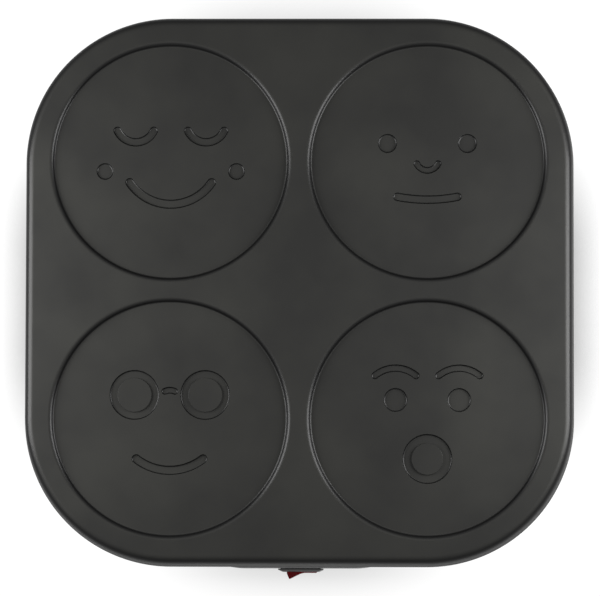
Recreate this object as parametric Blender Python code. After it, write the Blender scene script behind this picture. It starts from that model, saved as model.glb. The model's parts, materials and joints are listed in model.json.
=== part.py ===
"""Electric countertop maker for four small crepes: a cast non-stick plate with four shallow wells, on a moulded
base that holds the heating element, thermostat, wiring and a rocker switch. Metres, +Z up, the front is -Y."""

import math

import bmesh
import bpy
from mathutils import Matrix, Vector

# Shared values
OVERALL_HEIGHT = 0.072
SEAT_GAP = 0.0003  # left between two pieces that touch
RUNNING_GAP = 0.0003  # left round what turns
CUT_OVERRUN = 0.002  # how far a cutter runs past the face that it opens
WELD = 0.001  # how far a boss or rib is sunk into the wall that carries it

# Cooking plate: an upturned tray, cast in one piece
PLATE_DEPTH = 0.018
PLATE_THICKNESS = 0.0055
PLATE_EDGE_ROUND = 0.0028
PLATE_INNER_ROUND = 0.003
SKIRT_FLARE = 0.0005
SKIRT_WALL = 0.0024
PLATE_CORNER_STEPS = 8
EDGE_STEPS = 2  # round each rounded edge of its section

# The four wells and what is sunk into their floors
WELL_RADIUS = 0.054
WELL_GAP = 0.010  # between two wells
WELL_MARGIN = 0.0128  # from a well's rim out to the plate's lip
WELL_DEPTH = 0.0022
WELL_DRAFT = 0.0004
WELL_ROUND = 0.0006
WELL_SIDES = 32
GROOVE_DEPTH = 0.0008
GROOVE_DRAFT = 0.00035
GROOVE_OVERRUN = 0.0005
DOT_SIDES = 12
ARC_STEPS = 8
ARC_END_STEPS = 3

# The faces, in shares of the well's radius from its middle. A dot has x, y and radius. A ring has x, y
# and its outer and inner radius. An arc has x, y, radius, width and its first and last angle.
FACE_SHARES = {
    "back_left": (
        ("arc", -0.30, 0.34, 0.17, 0.07, 205, 335),
        ("arc", 0.30, 0.34, 0.17, 0.07, 205, 335),
        ("arc", 0.0, 0.06, 0.42, 0.075, 214, 326),
        ("dot", -0.56, -0.08, 0.07),
        ("dot", 0.56, -0.08, 0.07),
    ),
    "back_right": (
        ("dot", -0.34, 0.16, 0.08),
        ("dot", 0.34, 0.16, 0.08),
        ("arc", 0.0, 0.03, 0.10, 0.055, 205, 335),
        ("arc", 0.0, 1.02, 1.34, 0.07, 259, 281),
    ),
    "front_left": (
        ("ring", -0.30, 0.20, 0.21, 0.145),
        ("ring", 0.30, 0.20, 0.21, 0.145),
        ("arc", 0.0, 0.14, 0.10, 0.055, 65, 115),
        ("arc", 0.0, 0.02, 0.46, 0.075, 232, 308),
    ),
    "front_right": (
        ("dot", -0.27, 0.16, 0.10),
        ("dot", 0.27, 0.16, 0.10),
        ("arc", -0.27, 0.16, 0.27, 0.06, 50, 130),
        ("arc", 0.27, 0.16, 0.27, 0.06, 50, 130),
        ("ring", 0.0, -0.34, 0.21, 0.135),
    ),
}

# Under the plate: the element's bed, the bosses and the pads
BED_WIDTH = 0.013
BED_HEIGHT = 0.0035
BED_ROOF_GAP = 0.0001  # more room over the tube than beside it
BED_CHANNEL_STEPS = 4
BOSS_RADIUS = 0.005
BOSS_CLEARANCE = 0.0012  # from a main boss to the shield's rim
BOSS_LENGTH = 0.0094
MAIN_SCREW_RADIUS = 0.0019
MAIN_HOLE_RADIUS = 0.0023
MAIN_HOLE_DEPTH = 0.008
SMALL_BOSS_RADIUS = 0.0036
SMALL_SCREW_RADIUS = 0.0012
SMALL_HOLE_RADIUS = 0.0015
SMALL_HOLE_DEPTH = 0.0035

# Heating element: a sheathed tube, one loop under the four wells, both ends turned down at the rear
ELEMENT_RADIUS = 0.00325
ELEMENT_CORNER = 0.030
ELEMENT_END_X = 0.012
ELEMENT_BEND = 0.008
ELEMENT_TAIL = 0.009
ELEMENT_CORNER_STEPS = 5
ELEMENT_SIDES = 8
PIN_RADIUS = 0.0012
PIN_LENGTH = 0.014
PIN_SIDES = 10
BEAD_RADIUS = 0.0043
BEAD_LENGTH = 0.005
BEAD_SIDES = 12
BEAD_WAIST = 0.0008

# Saddle clips over the element and the fuse
CLIP_THICKNESS = 0.001
CLIP_WIDTH = 0.008
CLIP_FOOT = 0.0085
CLIP_ARC_STEPS = 6

# Thermostat, pressed on a pad in the middle of the plate
THERMOSTAT_PAD_RADIUS = 0.009
THERMOSTAT_PAD_HEIGHT = 0.003
THERMOSTAT_CAP_RADIUS = 0.008
THERMOSTAT_CAP_HEIGHT = 0.0042
THERMOSTAT_BODY_RADIUS = 0.0072
THERMOSTAT_BODY_HEIGHT = 0.007
THERMOSTAT_BLADE_REACH = 0.0135
THERMOSTAT_SIDES = 16
BLADE_WIDTH = 0.0048
BLADE_THICKNESS = 0.0008
STRAP_THICKNESS = 0.0008
STRAP_WIDTH = 0.019
STRAP_HOLE_PITCH = 0.030

# Thermal fuse in its sleeve, and the earth tag
FUSE_RADIUS = 0.0028
FUSE_LENGTH = 0.026
FUSE_SIDES = 12
EARTH_FROM_MIDDLE = 0.020
EARTH_BOSS_LENGTH = 0.0065
TAG_RADIUS = 0.0042
TAG_TAIL = 0.008
TAG_THICKNESS = 0.0008

# Heat shield, a sheet tray hung under the plate's main bosses
SHIELD_CLEARANCE = 0.0056  # all round, inside the upstand
SHIELD_THICKNESS = 0.0008
SHIELD_LIP = 0.004
SHIELD_OPENING_RADIUS = 0.037
SHIELD_PORT_RADIUS = 0.0062
SHIELD_CORNER_STEPS = 4
SHIELD_OPENING_SIDES = 24
STANDOFF_RADIUS = 0.0046
STANDOFF_SIDES = 12

# Base housing: a moulded shell, open above and below
HOUSING_INSET = 0.0055  # from the plate's lip in to the housing's side
HOUSING_WALL = 0.0026
SHADOW_GAP = 0.003
SHOULDER_ROUND = 0.0015
LEDGE = 0.0015
UPSTAND_HEIGHT = 0.0075
UPSTAND_WALL = 0.0024
FOOT_CLEARANCE = 0.005
TURN_IN_WIDTH = 0.010
TURN_IN_HEIGHT = 0.012
TURN_IN_STEPS = 2
OPENING_LIP = 0.0025
HOUSING_CORNER_STEPS = 5
HAUNCH_DROP = 0.003
HAUNCH_HEIGHT = 0.002

# The bulged panel on the front that carries the switch
NOSE_PAST_LIP = 0.0012  # how far the panel's face stands out past the plate's lip
NOSE_FLAT = 0.020
NOSE_REACH = 0.056
NOSE_STEPS = 4

# Lugs, pillars and the rear shelf inside the housing
LUG_THICKNESS = 0.003
LUG_WIDTH = 0.015
LUG_INNER_REACH = 0.006
LUG_DROP = 0.0017
PILLAR_RADIUS = 0.0045
PILLAR_CLEARANCE = 0.0006  # to the rib round the cover
PILLAR_TOP = 0.028
PILLAR_SIDES = 12
WEB_THICKNESS = 0.002
WEB_BOTTOM = 0.0145
SHELF_WIDTH = 0.044
SHELF_DEPTH = 0.033
SHELF_BOTTOM = 0.013
SHELF_THICKNESS = 0.003
PEDESTAL_WIDTH = 0.008
PEDESTAL_HEIGHT = 0.0075

# Bottom cover
COVER_THICKNESS = 0.002
COVER_RECESS = 0.0005
COVER_CLEARANCE = 0.0003
COVER_CORNER_STEPS = 5
COVER_SCREW_RADIUS = 0.0015
COVER_SCREW_REACH = 0.012
COVER_HOLE_RADIUS = 0.0019
VENT_LENGTH = 0.040
VENT_WIDTH = 0.0034
VENT_PITCH = 0.009
VENT_COUNT = 7
VENT_ROW_SHIFT = 0.034
VENT_END_STEPS = 2
RIM_RIB_HEIGHT = 0.003
RIM_RIB_WIDTH = 0.0016
RIM_RIB_INSET = 0.002

# Rubber feet, plugged into the cover
FOOT_TO_SCREW = 0.0086  # clear distance from a foot to the head of the screw beyond it
FOOT_BOTTOM_RADIUS = 0.0082
FOOT_TOP_RADIUS = 0.0092
FOOT_EDGE = 0.0008
FOOT_STEM_RADIUS = 0.0028
FOOT_BARB_RADIUS = 0.0038
FOOT_BARB_HEIGHT = 0.003
FOOT_HOLE_RADIUS = 0.0032
FOOT_SIDES = 14

# Cord inlet at the rear: a gland in the wall and a clamp on the shelf
CORD_Z = 0.024
GLAND_BORE = 0.0037
GLAND_RADIUS = 0.006
GLAND_FLANGE_RADIUS = 0.0085
GLAND_FLANGE = 0.002
GLAND_BARB_RADIUS = 0.0074
GLAND_BARB_LENGTH = 0.003
GLAND_SIDES = 14
CLAMP_LENGTH = 0.030
CLAMP_END = 0.0045  # from each of its screws out to the end of the bar
CLAMP_WIDTH = 0.008
CLAMP_HEIGHT = 0.0045
CLAMP_FROM_WALL = 0.013
CLAMP_ARCH_STEPS = 6
CLAMP_ARCH_SHARE = 0.8  # of a half circle's height, so that the bar grips
CLAMP_SCREW_RADIUS = 0.0013
CLAMP_SCREW_LENGTH = 0.0095

# Terminal block on the shelf
BLOCK_PITCH = 0.010
BLOCK_WIDTH = 0.009
BLOCK_DEPTH = 0.010
BLOCK_HEIGHT = 0.011
BLOCK_BASE_HEIGHT = 0.003
BLOCK_FROM_SHELF_FRONT = 0.006
BLOCK_SCREW_RADIUS = 0.0016
BLOCK_PORT_RADIUS = 0.0019
BLOCK_PORT_Z = 0.0062

# Rocker switch, in the nose, a touch right of the middle
SWITCH_X = 0.0005
BEZEL_HALF_WIDTH = 0.0105
BEZEL_HALF_HEIGHT = 0.0075
BEZEL_THICKNESS = 0.0014
BEZEL_RIM = 0.0005
BEZEL_SLOPE = 0.0018
SWITCH_BOX_HALF_WIDTH = 0.0094
SWITCH_BOX_HALF_HEIGHT = 0.0064
SWITCH_BOX_DEPTH = 0.013
SWITCH_BACK_WALL = 0.0014
WINDOW_HALF_WIDTH = 0.008
WINDOW_HALF_HEIGHT = 0.0053
SWITCH_CORNER = 0.0008
SWITCH_CORNER_STEPS = 2
SNAP_EAR_LENGTH = 0.0035
SNAP_EAR_WIDTH = 0.008
SNAP_EAR_HEIGHT = 0.0009
PIVOT_DEPTH = 0.001  # the rocker's pivot, behind the panel's face
PIVOT_RADIUS = 0.001
PIVOT_SIDES = 12
ROCKER_TILT = math.radians(13)
ROCKER_HALF_WIDTH = 0.0066
ROCKER_WAIST = 0.0071
ROCKER_VALLEY = 0.0033
ROCKER_SLOPE = math.radians(13)
ROCKER_WAIST_OUT = 0.002
ROCKER_SKIRT = 0.001
ROCKER_WALL = 0.0011
ROCKER_EDGE = 0.0004
STEM_RADIUS = 0.0024
STEM_BORE = 0.0016
STEM_END = 0.0042
STEM_SIDES = 12
PLUNGER_RADIUS = 0.0009
PLUNGER_HEAD_RADIUS = 0.0013
PLUNGER_HEAD = 0.001
PLUNGER_TIP = 0.0071
PLUNGER_HEAD_AT = 0.0038
PLUNGER_TIP_SHARES = (0.6, 0.125)  # of its radius: how wide its blunt tip is, how far from the end
SPRING_WIRE = 0.00022
SPRING_RADIUS = 0.001
SPRING_TURNS = 4
SPRING_POINTS = 8
LAMP_RADIUS = 0.0012
LAMP_LENGTH = 0.0068
LAMP_SIDES = 10
LAMP_TIP_SHARES = (0.7, 0.25)  # of its radius: how wide a rounded end still is, how far from its tip

# Inside the switch: a see-saw contact on the middle terminal
CONTACT_DEPTH = 0.0088
CONTACT_TILT = math.radians(8)
CONTACT_BEND = math.radians(6)
CONTACT_ARM = 0.0056
CONTACT_THICKNESS = 0.0008
CONTACT_HALF_HEIGHT = 0.002
TERMINAL_PITCH = 0.0055
TERMINAL_OUT = 0.008
TERMINAL_PAD = 0.0016

# Leads
LEAD_RADIUS = 0.0011
LEAD_STEP = 0.017

# Screws
SCREW_SIDES = 8
HEAD_TO_SHANK_SHARE = 1.9
HEAD_HEIGHT_SHARE = 1.1
HEAD_DOME_SHARES = (0.75, 0.8)  # of the head's radius and height, where its dome turns down

# Places worked out from the sizes above
CORNER_CENTRE = WELL_RADIUS + WELL_GAP / 2
PLATE_TOP = OVERALL_HEIGHT
PLATE_LIP_Z = PLATE_TOP - PLATE_DEPTH
PLATE_UNDER = PLATE_TOP - PLATE_THICKNESS
PLATE_HALF = CORNER_CENTRE + WELL_RADIUS + WELL_MARGIN
WELL_FLOOR = PLATE_TOP - WELL_DEPTH
HOUSING_HALF = PLATE_HALF - HOUSING_INSET
HOUSING_TOP = PLATE_LIP_Z - SHADOW_GAP
UPSTAND_TOP = HOUSING_TOP + UPSTAND_HEIGHT
UPSTAND_HALF = HOUSING_HALF - SHOULDER_ROUND - LEDGE
HOUSING_INNER_HALF = HOUSING_HALF - HOUSING_WALL
TURN_IN_TOP = FOOT_CLEARANCE + TURN_IN_HEIGHT
BOTTOM_HALF = HOUSING_HALF - TURN_IN_WIDTH
OPENING_HALF = BOTTOM_HALF - OPENING_LIP
NOSE_BULGE = HOUSING_INSET + NOSE_PAST_LIP
NOSE_FACE_Y = -(HOUSING_HALF + NOSE_BULGE)
COVER_BOTTOM = FOOT_CLEARANCE + COVER_RECESS
COVER_TOP = COVER_BOTTOM + COVER_THICKNESS
COVER_HALF = OPENING_HALF - COVER_CLEARANCE
RIM_RIB_INNER_HALF = COVER_HALF - RIM_RIB_INSET - RIM_RIB_WIDTH
PILLAR_BOTTOM = COVER_TOP + SEAT_GAP
PILLAR_FROM_CORNER = RIM_RIB_INNER_HALF - CORNER_CENTRE - PILLAR_CLEARANCE - PILLAR_RADIUS
PILLAR_AT = CORNER_CENTRE + PILLAR_FROM_CORNER * math.sqrt(0.5)
COVER_HEAD_RADIUS = COVER_SCREW_RADIUS * HEAD_TO_SHANK_SHARE
FOOT_AT = PILLAR_AT - (FOOT_TOP_RADIUS + FOOT_TO_SCREW + COVER_HEAD_RADIUS) * math.sqrt(0.5)
SHIELD_HALF = UPSTAND_HALF - UPSTAND_WALL - SHIELD_CLEARANCE
BOSS_REACH = SHIELD_HALF - SHIELD_THICKNESS - BOSS_CLEARANCE - BOSS_RADIUS
ELEMENT_Z = PLATE_UNDER - ELEMENT_RADIUS - SEAT_GAP - BED_ROOF_GAP
BED_BOTTOM = PLATE_UNDER - BED_HEIGHT
BOSS_BOTTOM = PLATE_UNDER - BOSS_LENGTH
SHIELD_TOP = BOSS_BOTTOM - SEAT_GAP
SHIELD_BOTTOM = SHIELD_TOP - SHIELD_THICKNESS
LUG_TOP = HOUSING_TOP - LUG_DROP
LUG_BOTTOM = LUG_TOP - LUG_THICKNESS
SWITCH_Z = (TURN_IN_TOP + LUG_BOTTOM) / 2
SHELF_TOP = SHELF_BOTTOM + SHELF_THICKNESS
SHELF_FRONT = HOUSING_INNER_HALF - SHELF_DEPTH
CLAMP_Y = HOUSING_INNER_HALF - CLAMP_FROM_WALL
PEDESTAL_TOP = SHELF_TOP + PEDESTAL_HEIGHT
PEDESTAL_PITCH = CLAMP_LENGTH - 2 * CLAMP_END
BLOCK_Y = SHELF_FRONT + BLOCK_FROM_SHELF_FRONT
BLOCK_BOTTOM = SHELF_TOP + SEAT_GAP
PIVOT_Y = NOSE_FACE_Y + PIVOT_DEPTH
CONTACT_Y = NOSE_FACE_Y + CONTACT_DEPTH
SWITCH_BACK_Y = NOSE_FACE_Y + SWITCH_BOX_DEPTH
BLADE_END_Y = SWITCH_BACK_Y + TERMINAL_OUT
ELEMENT_DROP_X = ELEMENT_END_X + ELEMENT_BEND
ELEMENT_TAIL_Z = ELEMENT_Z - ELEMENT_BEND - ELEMENT_TAIL
BEAD_TOP = ELEMENT_TAIL_Z - SEAT_GAP
BEAD_BOTTOM = BEAD_TOP - BEAD_LENGTH
PIN_BOTTOM = BEAD_TOP - PIN_LENGTH
CLIP_BOSS_BOTTOM = ELEMENT_Z
CAP_TOP = PLATE_UNDER - THERMOSTAT_PAD_HEIGHT - SEAT_GAP
CAP_BOTTOM = CAP_TOP - THERMOSTAT_CAP_HEIGHT
STRAP_TOP = CAP_BOTTOM - SEAT_GAP
STRAP_BOTTOM = STRAP_TOP - STRAP_THICKNESS
FUSE_Z = PLATE_UNDER - FUSE_RADIUS - SEAT_GAP
FUSE_FROM_MIDDLE = CORNER_CENTRE / 2
TAG_TOP = PLATE_UNDER - EARTH_BOSS_LENGTH - SEAT_GAP
TAG_BOTTOM = TAG_TOP - TAG_THICKNESS

QUARTERS = ((1, 1), (-1, 1), (-1, -1), (1, -1))
SIDES_OF_FOUR = ((1, 0), (0, 1), (-1, 0), (0, -1))


# Shape makers: each adds a closed shape to a bmesh


def add_loft(bm, rings, closed=False):
    """Skins rings of as many points each. An open loft is capped, a closed one joins its last to its first."""
    loops = [[bm.verts.new(point) for point in ring] for ring in rings]
    pairs = list(zip(loops, loops[1:]))
    if closed:
        pairs.append((loops[-1], loops[0]))
    faces = []
    for lower, upper in pairs:
        for here in range(len(lower)):
            there = (here + 1) % len(lower)
            faces.append(bm.faces.new((lower[here], lower[there], upper[there], upper[here])))
    if not closed:
        faces.append(bm.faces.new(loops[0]))
        faces.append(bm.faces.new(loops[-1]))
    bmesh.ops.recalc_face_normals(bm, faces=faces)


def add_turned(bm, profile, place, sides):
    """Turns a profile of (radius, height) points about its own axis, then puts it at place."""
    rings = []
    for radius, height in profile:
        count = sides if radius > 0 else 1
        angles = [math.tau * side / sides for side in range(count)]
        rings.append(
            [bm.verts.new(place @ Vector((radius * math.cos(a), radius * math.sin(a), height))) for a in angles]
        )
    pairs = list(zip(rings, rings[1:]))
    if profile[0][0] > 0:
        pairs.append((rings[-1], rings[0]))
    faces = []
    for lower, upper in pairs:
        for here in range(sides):
            there = (here + 1) % sides
            corners = [
                lower[here % len(lower)],
                lower[there % len(lower)],
                upper[there % len(upper)],
                upper[here % len(upper)],
            ]
            faces.append(bm.faces.new(list(dict.fromkeys(corners))))
    bmesh.ops.recalc_face_normals(bm, faces=faces)


def add_box(bm, low, high, place=Matrix()):
    middle = (Vector(low) + Vector(high)) / 2
    size = Vector(high) - Vector(low)
    shape = Matrix.Translation(middle) @ Matrix.Diagonal((*size, 1))
    bmesh.ops.create_cube(bm, size=1, matrix=place @ shape)


def add_rod(bm, radius, start, end, sides, end_radius=None):
    start, end = Vector(start), Vector(end)
    run = end - start
    place = Matrix.Translation((start + end) / 2) @ run.to_track_quat("Z", "Y").to_matrix().to_4x4()
    bmesh.ops.create_cone(
        bm,
        cap_ends=True,
        segments=sides,
        radius1=radius,
        radius2=radius if end_radius is None else end_radius,
        depth=run.length,
        matrix=place,
    )


def add_screw(bm, radius, seat, tip, sides=SCREW_SIDES):
    """A pan-head screw: its head starts at seat, and its shank runs to tip."""
    seat, tip = Vector(seat), Vector(tip)
    run = tip - seat
    head = radius * HEAD_TO_SHANK_SHARE
    height = radius * HEAD_HEIGHT_SHARE
    profile = [
        (0, -height),
        (head * HEAD_DOME_SHARES[0], -height * HEAD_DOME_SHARES[1]),
        (head, 0),
        (radius, 0),
        (radius, run.length - radius),
        (0, run.length),
    ]
    place = Matrix.Translation(seat) @ run.to_track_quat("Z", "Y").to_matrix().to_4x4()
    add_turned(bm, profile, place, sides)


def material(name, colour, roughness, metallic=0.0, alpha=1.0):
    made = bpy.data.materials.new(name)
    made.use_nodes = True
    made.diffuse_color = (*colour, alpha)
    shader = made.node_tree.nodes["Principled BSDF"]
    shader.inputs["Base Color"].default_value = (*colour, 1)
    shader.inputs["Roughness"].default_value = roughness
    shader.inputs["Metallic"].default_value = metallic
    shader.inputs["Alpha"].default_value = alpha
    return made


def piece(name, bm, finish, sharp=30):
    """One sub-part: the bmesh becomes an object of that name."""
    mesh = bpy.data.meshes.new(name)
    bm.to_mesh(mesh)
    bm.free()
    mesh.shade_smooth()
    mesh.set_sharp_from_angle(angle=math.radians(sharp))
    mesh.materials.append(finish)
    obj = bpy.data.objects.new(name, mesh)
    bpy.context.scene.collection.objects.link(obj)
    return obj


def change(obj, bm, operation):
    """Cuts the bmesh's shapes from obj, or welds them to it, by a Boolean modifier with a hidden tool."""
    name = f"{obj.name}_{operation.lower()}_{len(obj.modifiers)}"
    mesh = bpy.data.meshes.new(name)
    bm.to_mesh(mesh)
    bm.free()
    tool = bpy.data.objects.new(name, mesh)
    bpy.context.scene.collection.objects.link(tool)
    tool.parent = obj
    tool.hide_render = True
    tool.display_type = "WIRE"
    modifier = obj.modifiers.new(name, "BOOLEAN")
    modifier.operation = operation
    modifier.solver = "EXACT"
    modifier.object = tool
    return tool


def along(points, step):
    """A smooth run through hand-set points (Catmull-Rom), with a point about every step."""
    marks = [Vector(point) for point in points]
    marks = [marks[0] * 2 - marks[1], *marks, marks[-1] * 2 - marks[-2]]
    run = [marks[1]]
    for before, start, end, after in zip(marks, marks[1:], marks[2:], marks[3:]):
        count = max(1, round((end - start).length / step))
        for index in range(1, count + 1):
            t = index / count
            run.append(
                0.5
                * (
                    2 * start
                    + (end - before) * t
                    + (2 * before - 5 * start + 4 * end - after) * t * t
                    + (3 * start - before - 3 * end + after) * t**3
                )
            )
    return run


def tube(name, points, radius, finish, resolution=2):
    curve = bpy.data.curves.new(name, "CURVE")
    curve.dimensions = "3D"
    curve.bevel_depth = radius
    curve.bevel_resolution = resolution
    curve.use_fill_caps = True
    spline = curve.splines.new("POLY")
    spline.points.add(len(points) - 1)
    for spot, point in zip(spline.points, points):
        spot.co = (*point, 1)
    curve.materials.append(finish)
    obj = bpy.data.objects.new(name, curve)
    bpy.context.scene.collection.objects.link(obj)
    return obj


def add_sweep(bm, points, radius, sides):
    """A round bar along points, its section carried from one point to the next without twist."""
    marks = [Vector(point) for point in points]
    runs = [(there - here).normalized() for here, there in zip(marks, marks[1:])]
    runs = [runs[0], *[(a + b).normalized() for a, b in zip(runs, runs[1:])], runs[-1]]
    across = runs[0].orthogonal().normalized()
    rings = []
    for before, run, mark in zip([runs[0], *runs], runs, marks):
        across = before.rotation_difference(run) @ across
        beside = run.cross(across)
        rings.append(
            [
                mark + across * radius * math.cos(math.tau * side / sides)
                + beside * radius * math.sin(math.tau * side / sides)
                for side in range(sides)
            ]
        )
    add_loft(bm, rings)


def rounded_square(half, steps, centre=CORNER_CENTRE, front=(), bulge=0.0):
    """Counter-clockwise outline, its corner arcs round (centre, centre). front lists (x, share) of a bulge."""
    radius = half - centre
    points = []
    for quarter, (side_x, side_y) in enumerate(QUARTERS):
        for step in range(steps + 1):
            angle = math.radians(90) * (quarter + step / steps)
            points.append(
                (side_x * centre + radius * math.cos(angle), side_y * centre + radius * math.sin(angle))
            )
        if quarter == 2:
            points += [(x, -half - bulge * share) for x, share in front]
    return points


def at_quarters(reach):
    """The four corners of a square about the middle, by name."""
    names = ("back_right", "back_left", "front_left", "front_right")
    return {name: (side_x * reach, side_y * reach) for name, (side_x, side_y) in zip(names, QUARTERS)}


def at_height(outline, z):
    return [(x, y, z) for x, y in outline]


def arc_band(radius, start, end, width, steps=ARC_STEPS):
    """Outline of a round-ended band that follows an arc about the origin, angles in degrees."""
    points = []
    first, last = math.radians(start), math.radians(end)
    for step in range(steps + 1):
        angle = first + (last - first) * step / steps
        points.append(((radius + width / 2) * math.cos(angle), (radius + width / 2) * math.sin(angle)))
    for step in range(1, ARC_END_STEPS):
        turn = last + math.pi * step / ARC_END_STEPS
        points.append(
            (
                radius * math.cos(last) + width / 2 * math.cos(turn),
                radius * math.sin(last) + width / 2 * math.sin(turn),
            )
        )
    for step in range(steps, -1, -1):
        angle = first + (last - first) * step / steps
        points.append(((radius - width / 2) * math.cos(angle), (radius - width / 2) * math.sin(angle)))
    for step in range(1, ARC_END_STEPS):
        turn = first + math.pi + math.pi * step / ARC_END_STEPS
        points.append(
            (
                radius * math.cos(first) + width / 2 * math.cos(turn),
                radius * math.sin(first) + width / 2 * math.sin(turn),
            )
        )
    return points


def circle(radius, sides=DOT_SIDES):
    return [
        (radius * math.cos(math.tau * side / sides), radius * math.sin(math.tau * side / sides))
        for side in range(sides)
    ]


# Cooking plate


def plate_rings():
    """The tray's section, from the underside, down the skirt's inside, round the lip and up to the top."""
    slope = SKIRT_FLARE / (PLATE_DEPTH - PLATE_EDGE_ROUND)
    section = []
    inner_round_z = PLATE_UNDER - PLATE_INNER_ROUND
    inner_half = PLATE_HALF - SKIRT_WALL - slope * (inner_round_z - PLATE_LIP_Z)
    for step in range(EDGE_STEPS, -1, -1):
        angle = math.radians(90) * step / EDGE_STEPS
        section.append(
            (
                inner_half - PLATE_INNER_ROUND * (1 - math.cos(angle)),
                inner_round_z + PLATE_INNER_ROUND * math.sin(angle),
            )
        )
    section.append((PLATE_HALF - SKIRT_WALL, PLATE_LIP_Z))
    section.append((PLATE_HALF, PLATE_LIP_Z))
    round_half = PLATE_HALF - SKIRT_FLARE - PLATE_EDGE_ROUND
    for step in range(EDGE_STEPS + 1):
        angle = math.radians(90) * step / EDGE_STEPS
        section.append(
            (
                round_half + PLATE_EDGE_ROUND * math.cos(angle),
                PLATE_TOP - PLATE_EDGE_ROUND + PLATE_EDGE_ROUND * math.sin(angle),
            )
        )
    return [at_height(rounded_square(half, PLATE_CORNER_STEPS), z) for half, z in section]


def well_profile():
    """From above the plate down the eased rim, the drafted wall and the eased foot, to the floor."""
    profile = [(0, PLATE_TOP + CUT_OVERRUN), (WELL_RADIUS + WELL_ROUND, PLATE_TOP + CUT_OVERRUN)]
    profile += [(WELL_RADIUS + WELL_ROUND, PLATE_TOP), (WELL_RADIUS, PLATE_TOP - WELL_ROUND)]
    foot = WELL_RADIUS - WELL_DRAFT
    profile += [(foot, WELL_FLOOR + WELL_ROUND), (foot - WELL_ROUND, WELL_FLOOR), (0, WELL_FLOOR)]
    return profile


def add_engraving(bm, well, motif):
    """One sunk motif: a drafted prism or, where it has an inner outline, a drafted ring round an island."""
    kind, x_share, y_share, *rest = motif
    centre = Vector((well[0] + x_share * WELL_RADIUS, well[1] + y_share * WELL_RADIUS))
    inner = None
    if kind == "arc":
        radius_share, width_share, start, end = rest
        outline = arc_band(radius_share * WELL_RADIUS, start, end, width_share * WELL_RADIUS)
    elif kind == "dot":
        outline = circle(rest[0] * WELL_RADIUS)
    else:
        outline, inner = (circle(share * WELL_RADIUS) for share in rest)

    floor = WELL_FLOOR - GROOVE_DEPTH
    top = WELL_FLOOR + GROOVE_OVERRUN
    draft = GROOVE_DRAFT * (1 + GROOVE_OVERRUN / GROOVE_DEPTH)

    def ring(points, spread, z):
        middle = sum((Vector(point) for point in points), Vector((0, 0))) / len(points)
        reach = max((Vector(point) - middle).length for point in points)
        flat = [centre + middle + (Vector(point) - middle) * (1 + spread / reach) for point in points]
        return [(*point, z) for point in flat]

    rings = [ring(outline, 0, floor), ring(outline, draft, top)]
    if inner:
        rings += [ring(inner, -draft, top), ring(inner, 0, floor)]
    add_loft(bm, rings, closed=inner is not None)


def add_faces(bm):
    """A plain face in each well: at ease, calm, in spectacles and surprised."""
    for name, well in at_quarters(CORNER_CENTRE).items():
        for motif in FACE_SHARES[name]:
            add_engraving(bm, well, motif)


def element_path(corner_steps=ELEMENT_CORNER_STEPS):
    """The element's middle line: a rounded square through the wells' centres, open at the rear."""
    half = CORNER_CENTRE
    inner = half - ELEMENT_CORNER
    path = []
    for quarter, (side_x, side_y) in ((1, (-1, 1)), (2, (-1, -1)), (3, (1, -1)), (4, (1, 1))):
        for step in range(corner_steps + 1):
            angle = math.radians(90) * (quarter + step / corner_steps)
            path.append(
                (
                    side_x * inner + ELEMENT_CORNER * math.cos(angle),
                    side_y * inner + ELEMENT_CORNER * math.sin(angle),
                    ELEMENT_Z,
                )
            )
    drop = []
    for step in range(4):
        angle = math.radians(30) * step
        drop.append(
            (
                ELEMENT_DROP_X - ELEMENT_BEND * math.sin(angle),
                half,
                ELEMENT_Z - ELEMENT_BEND * (1 - math.cos(angle)),
            )
        )
    drop.append((ELEMENT_END_X, half, ELEMENT_TAIL_Z))
    left = [(-x, y, z) for x, y, z in reversed(drop)]
    return left + path + drop


def add_bed(bm):
    """The ridge that the element lies in, with a channel along it, swept round the same rounded square."""
    channel = ELEMENT_RADIUS + SEAT_GAP
    section = [
        (-BED_WIDTH / 2, PLATE_UNDER + WELD),
        (-BED_WIDTH / 2, PLATE_UNDER),
        (-BED_WIDTH / 2 + BED_HEIGHT / 4, BED_BOTTOM),
    ]
    section.append((-channel, BED_BOTTOM))
    for step in range(1, BED_CHANNEL_STEPS):
        angle = math.radians(180) * (1 - step / BED_CHANNEL_STEPS)
        section.append((channel * math.cos(angle), ELEMENT_Z + channel * math.sin(angle)))
    section += [
        (channel, BED_BOTTOM),
        (BED_WIDTH / 2 - BED_HEIGHT / 4, BED_BOTTOM),
        (BED_WIDTH / 2, PLATE_UNDER),
        (BED_WIDTH / 2, PLATE_UNDER + WELD),
    ]
    inner = CORNER_CENTRE - ELEMENT_CORNER
    rings = [
        at_height(rounded_square(CORNER_CENTRE + offset, ELEMENT_CORNER_STEPS, centre=inner), z)
        for offset, z in section
    ]
    add_loft(bm, rings, closed=True)


def clip_places():
    """Where each saddle clip holds the element, and how far it is turned about +Z."""
    return {
        "right": (CORNER_CENTRE, 0.0, 0.0),
        "left": (-CORNER_CENTRE, 0.0, math.radians(180)),
        "front": (0.0, -CORNER_CENTRE, math.radians(-90)),
    }


def clip_reach(tube_radius):
    """From a tube's middle line to the screw of a saddle clip over it."""
    return tube_radius + SEAT_GAP + CLIP_THICKNESS + CLIP_FOOT / 2 + SMALL_HOLE_RADIUS


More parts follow.
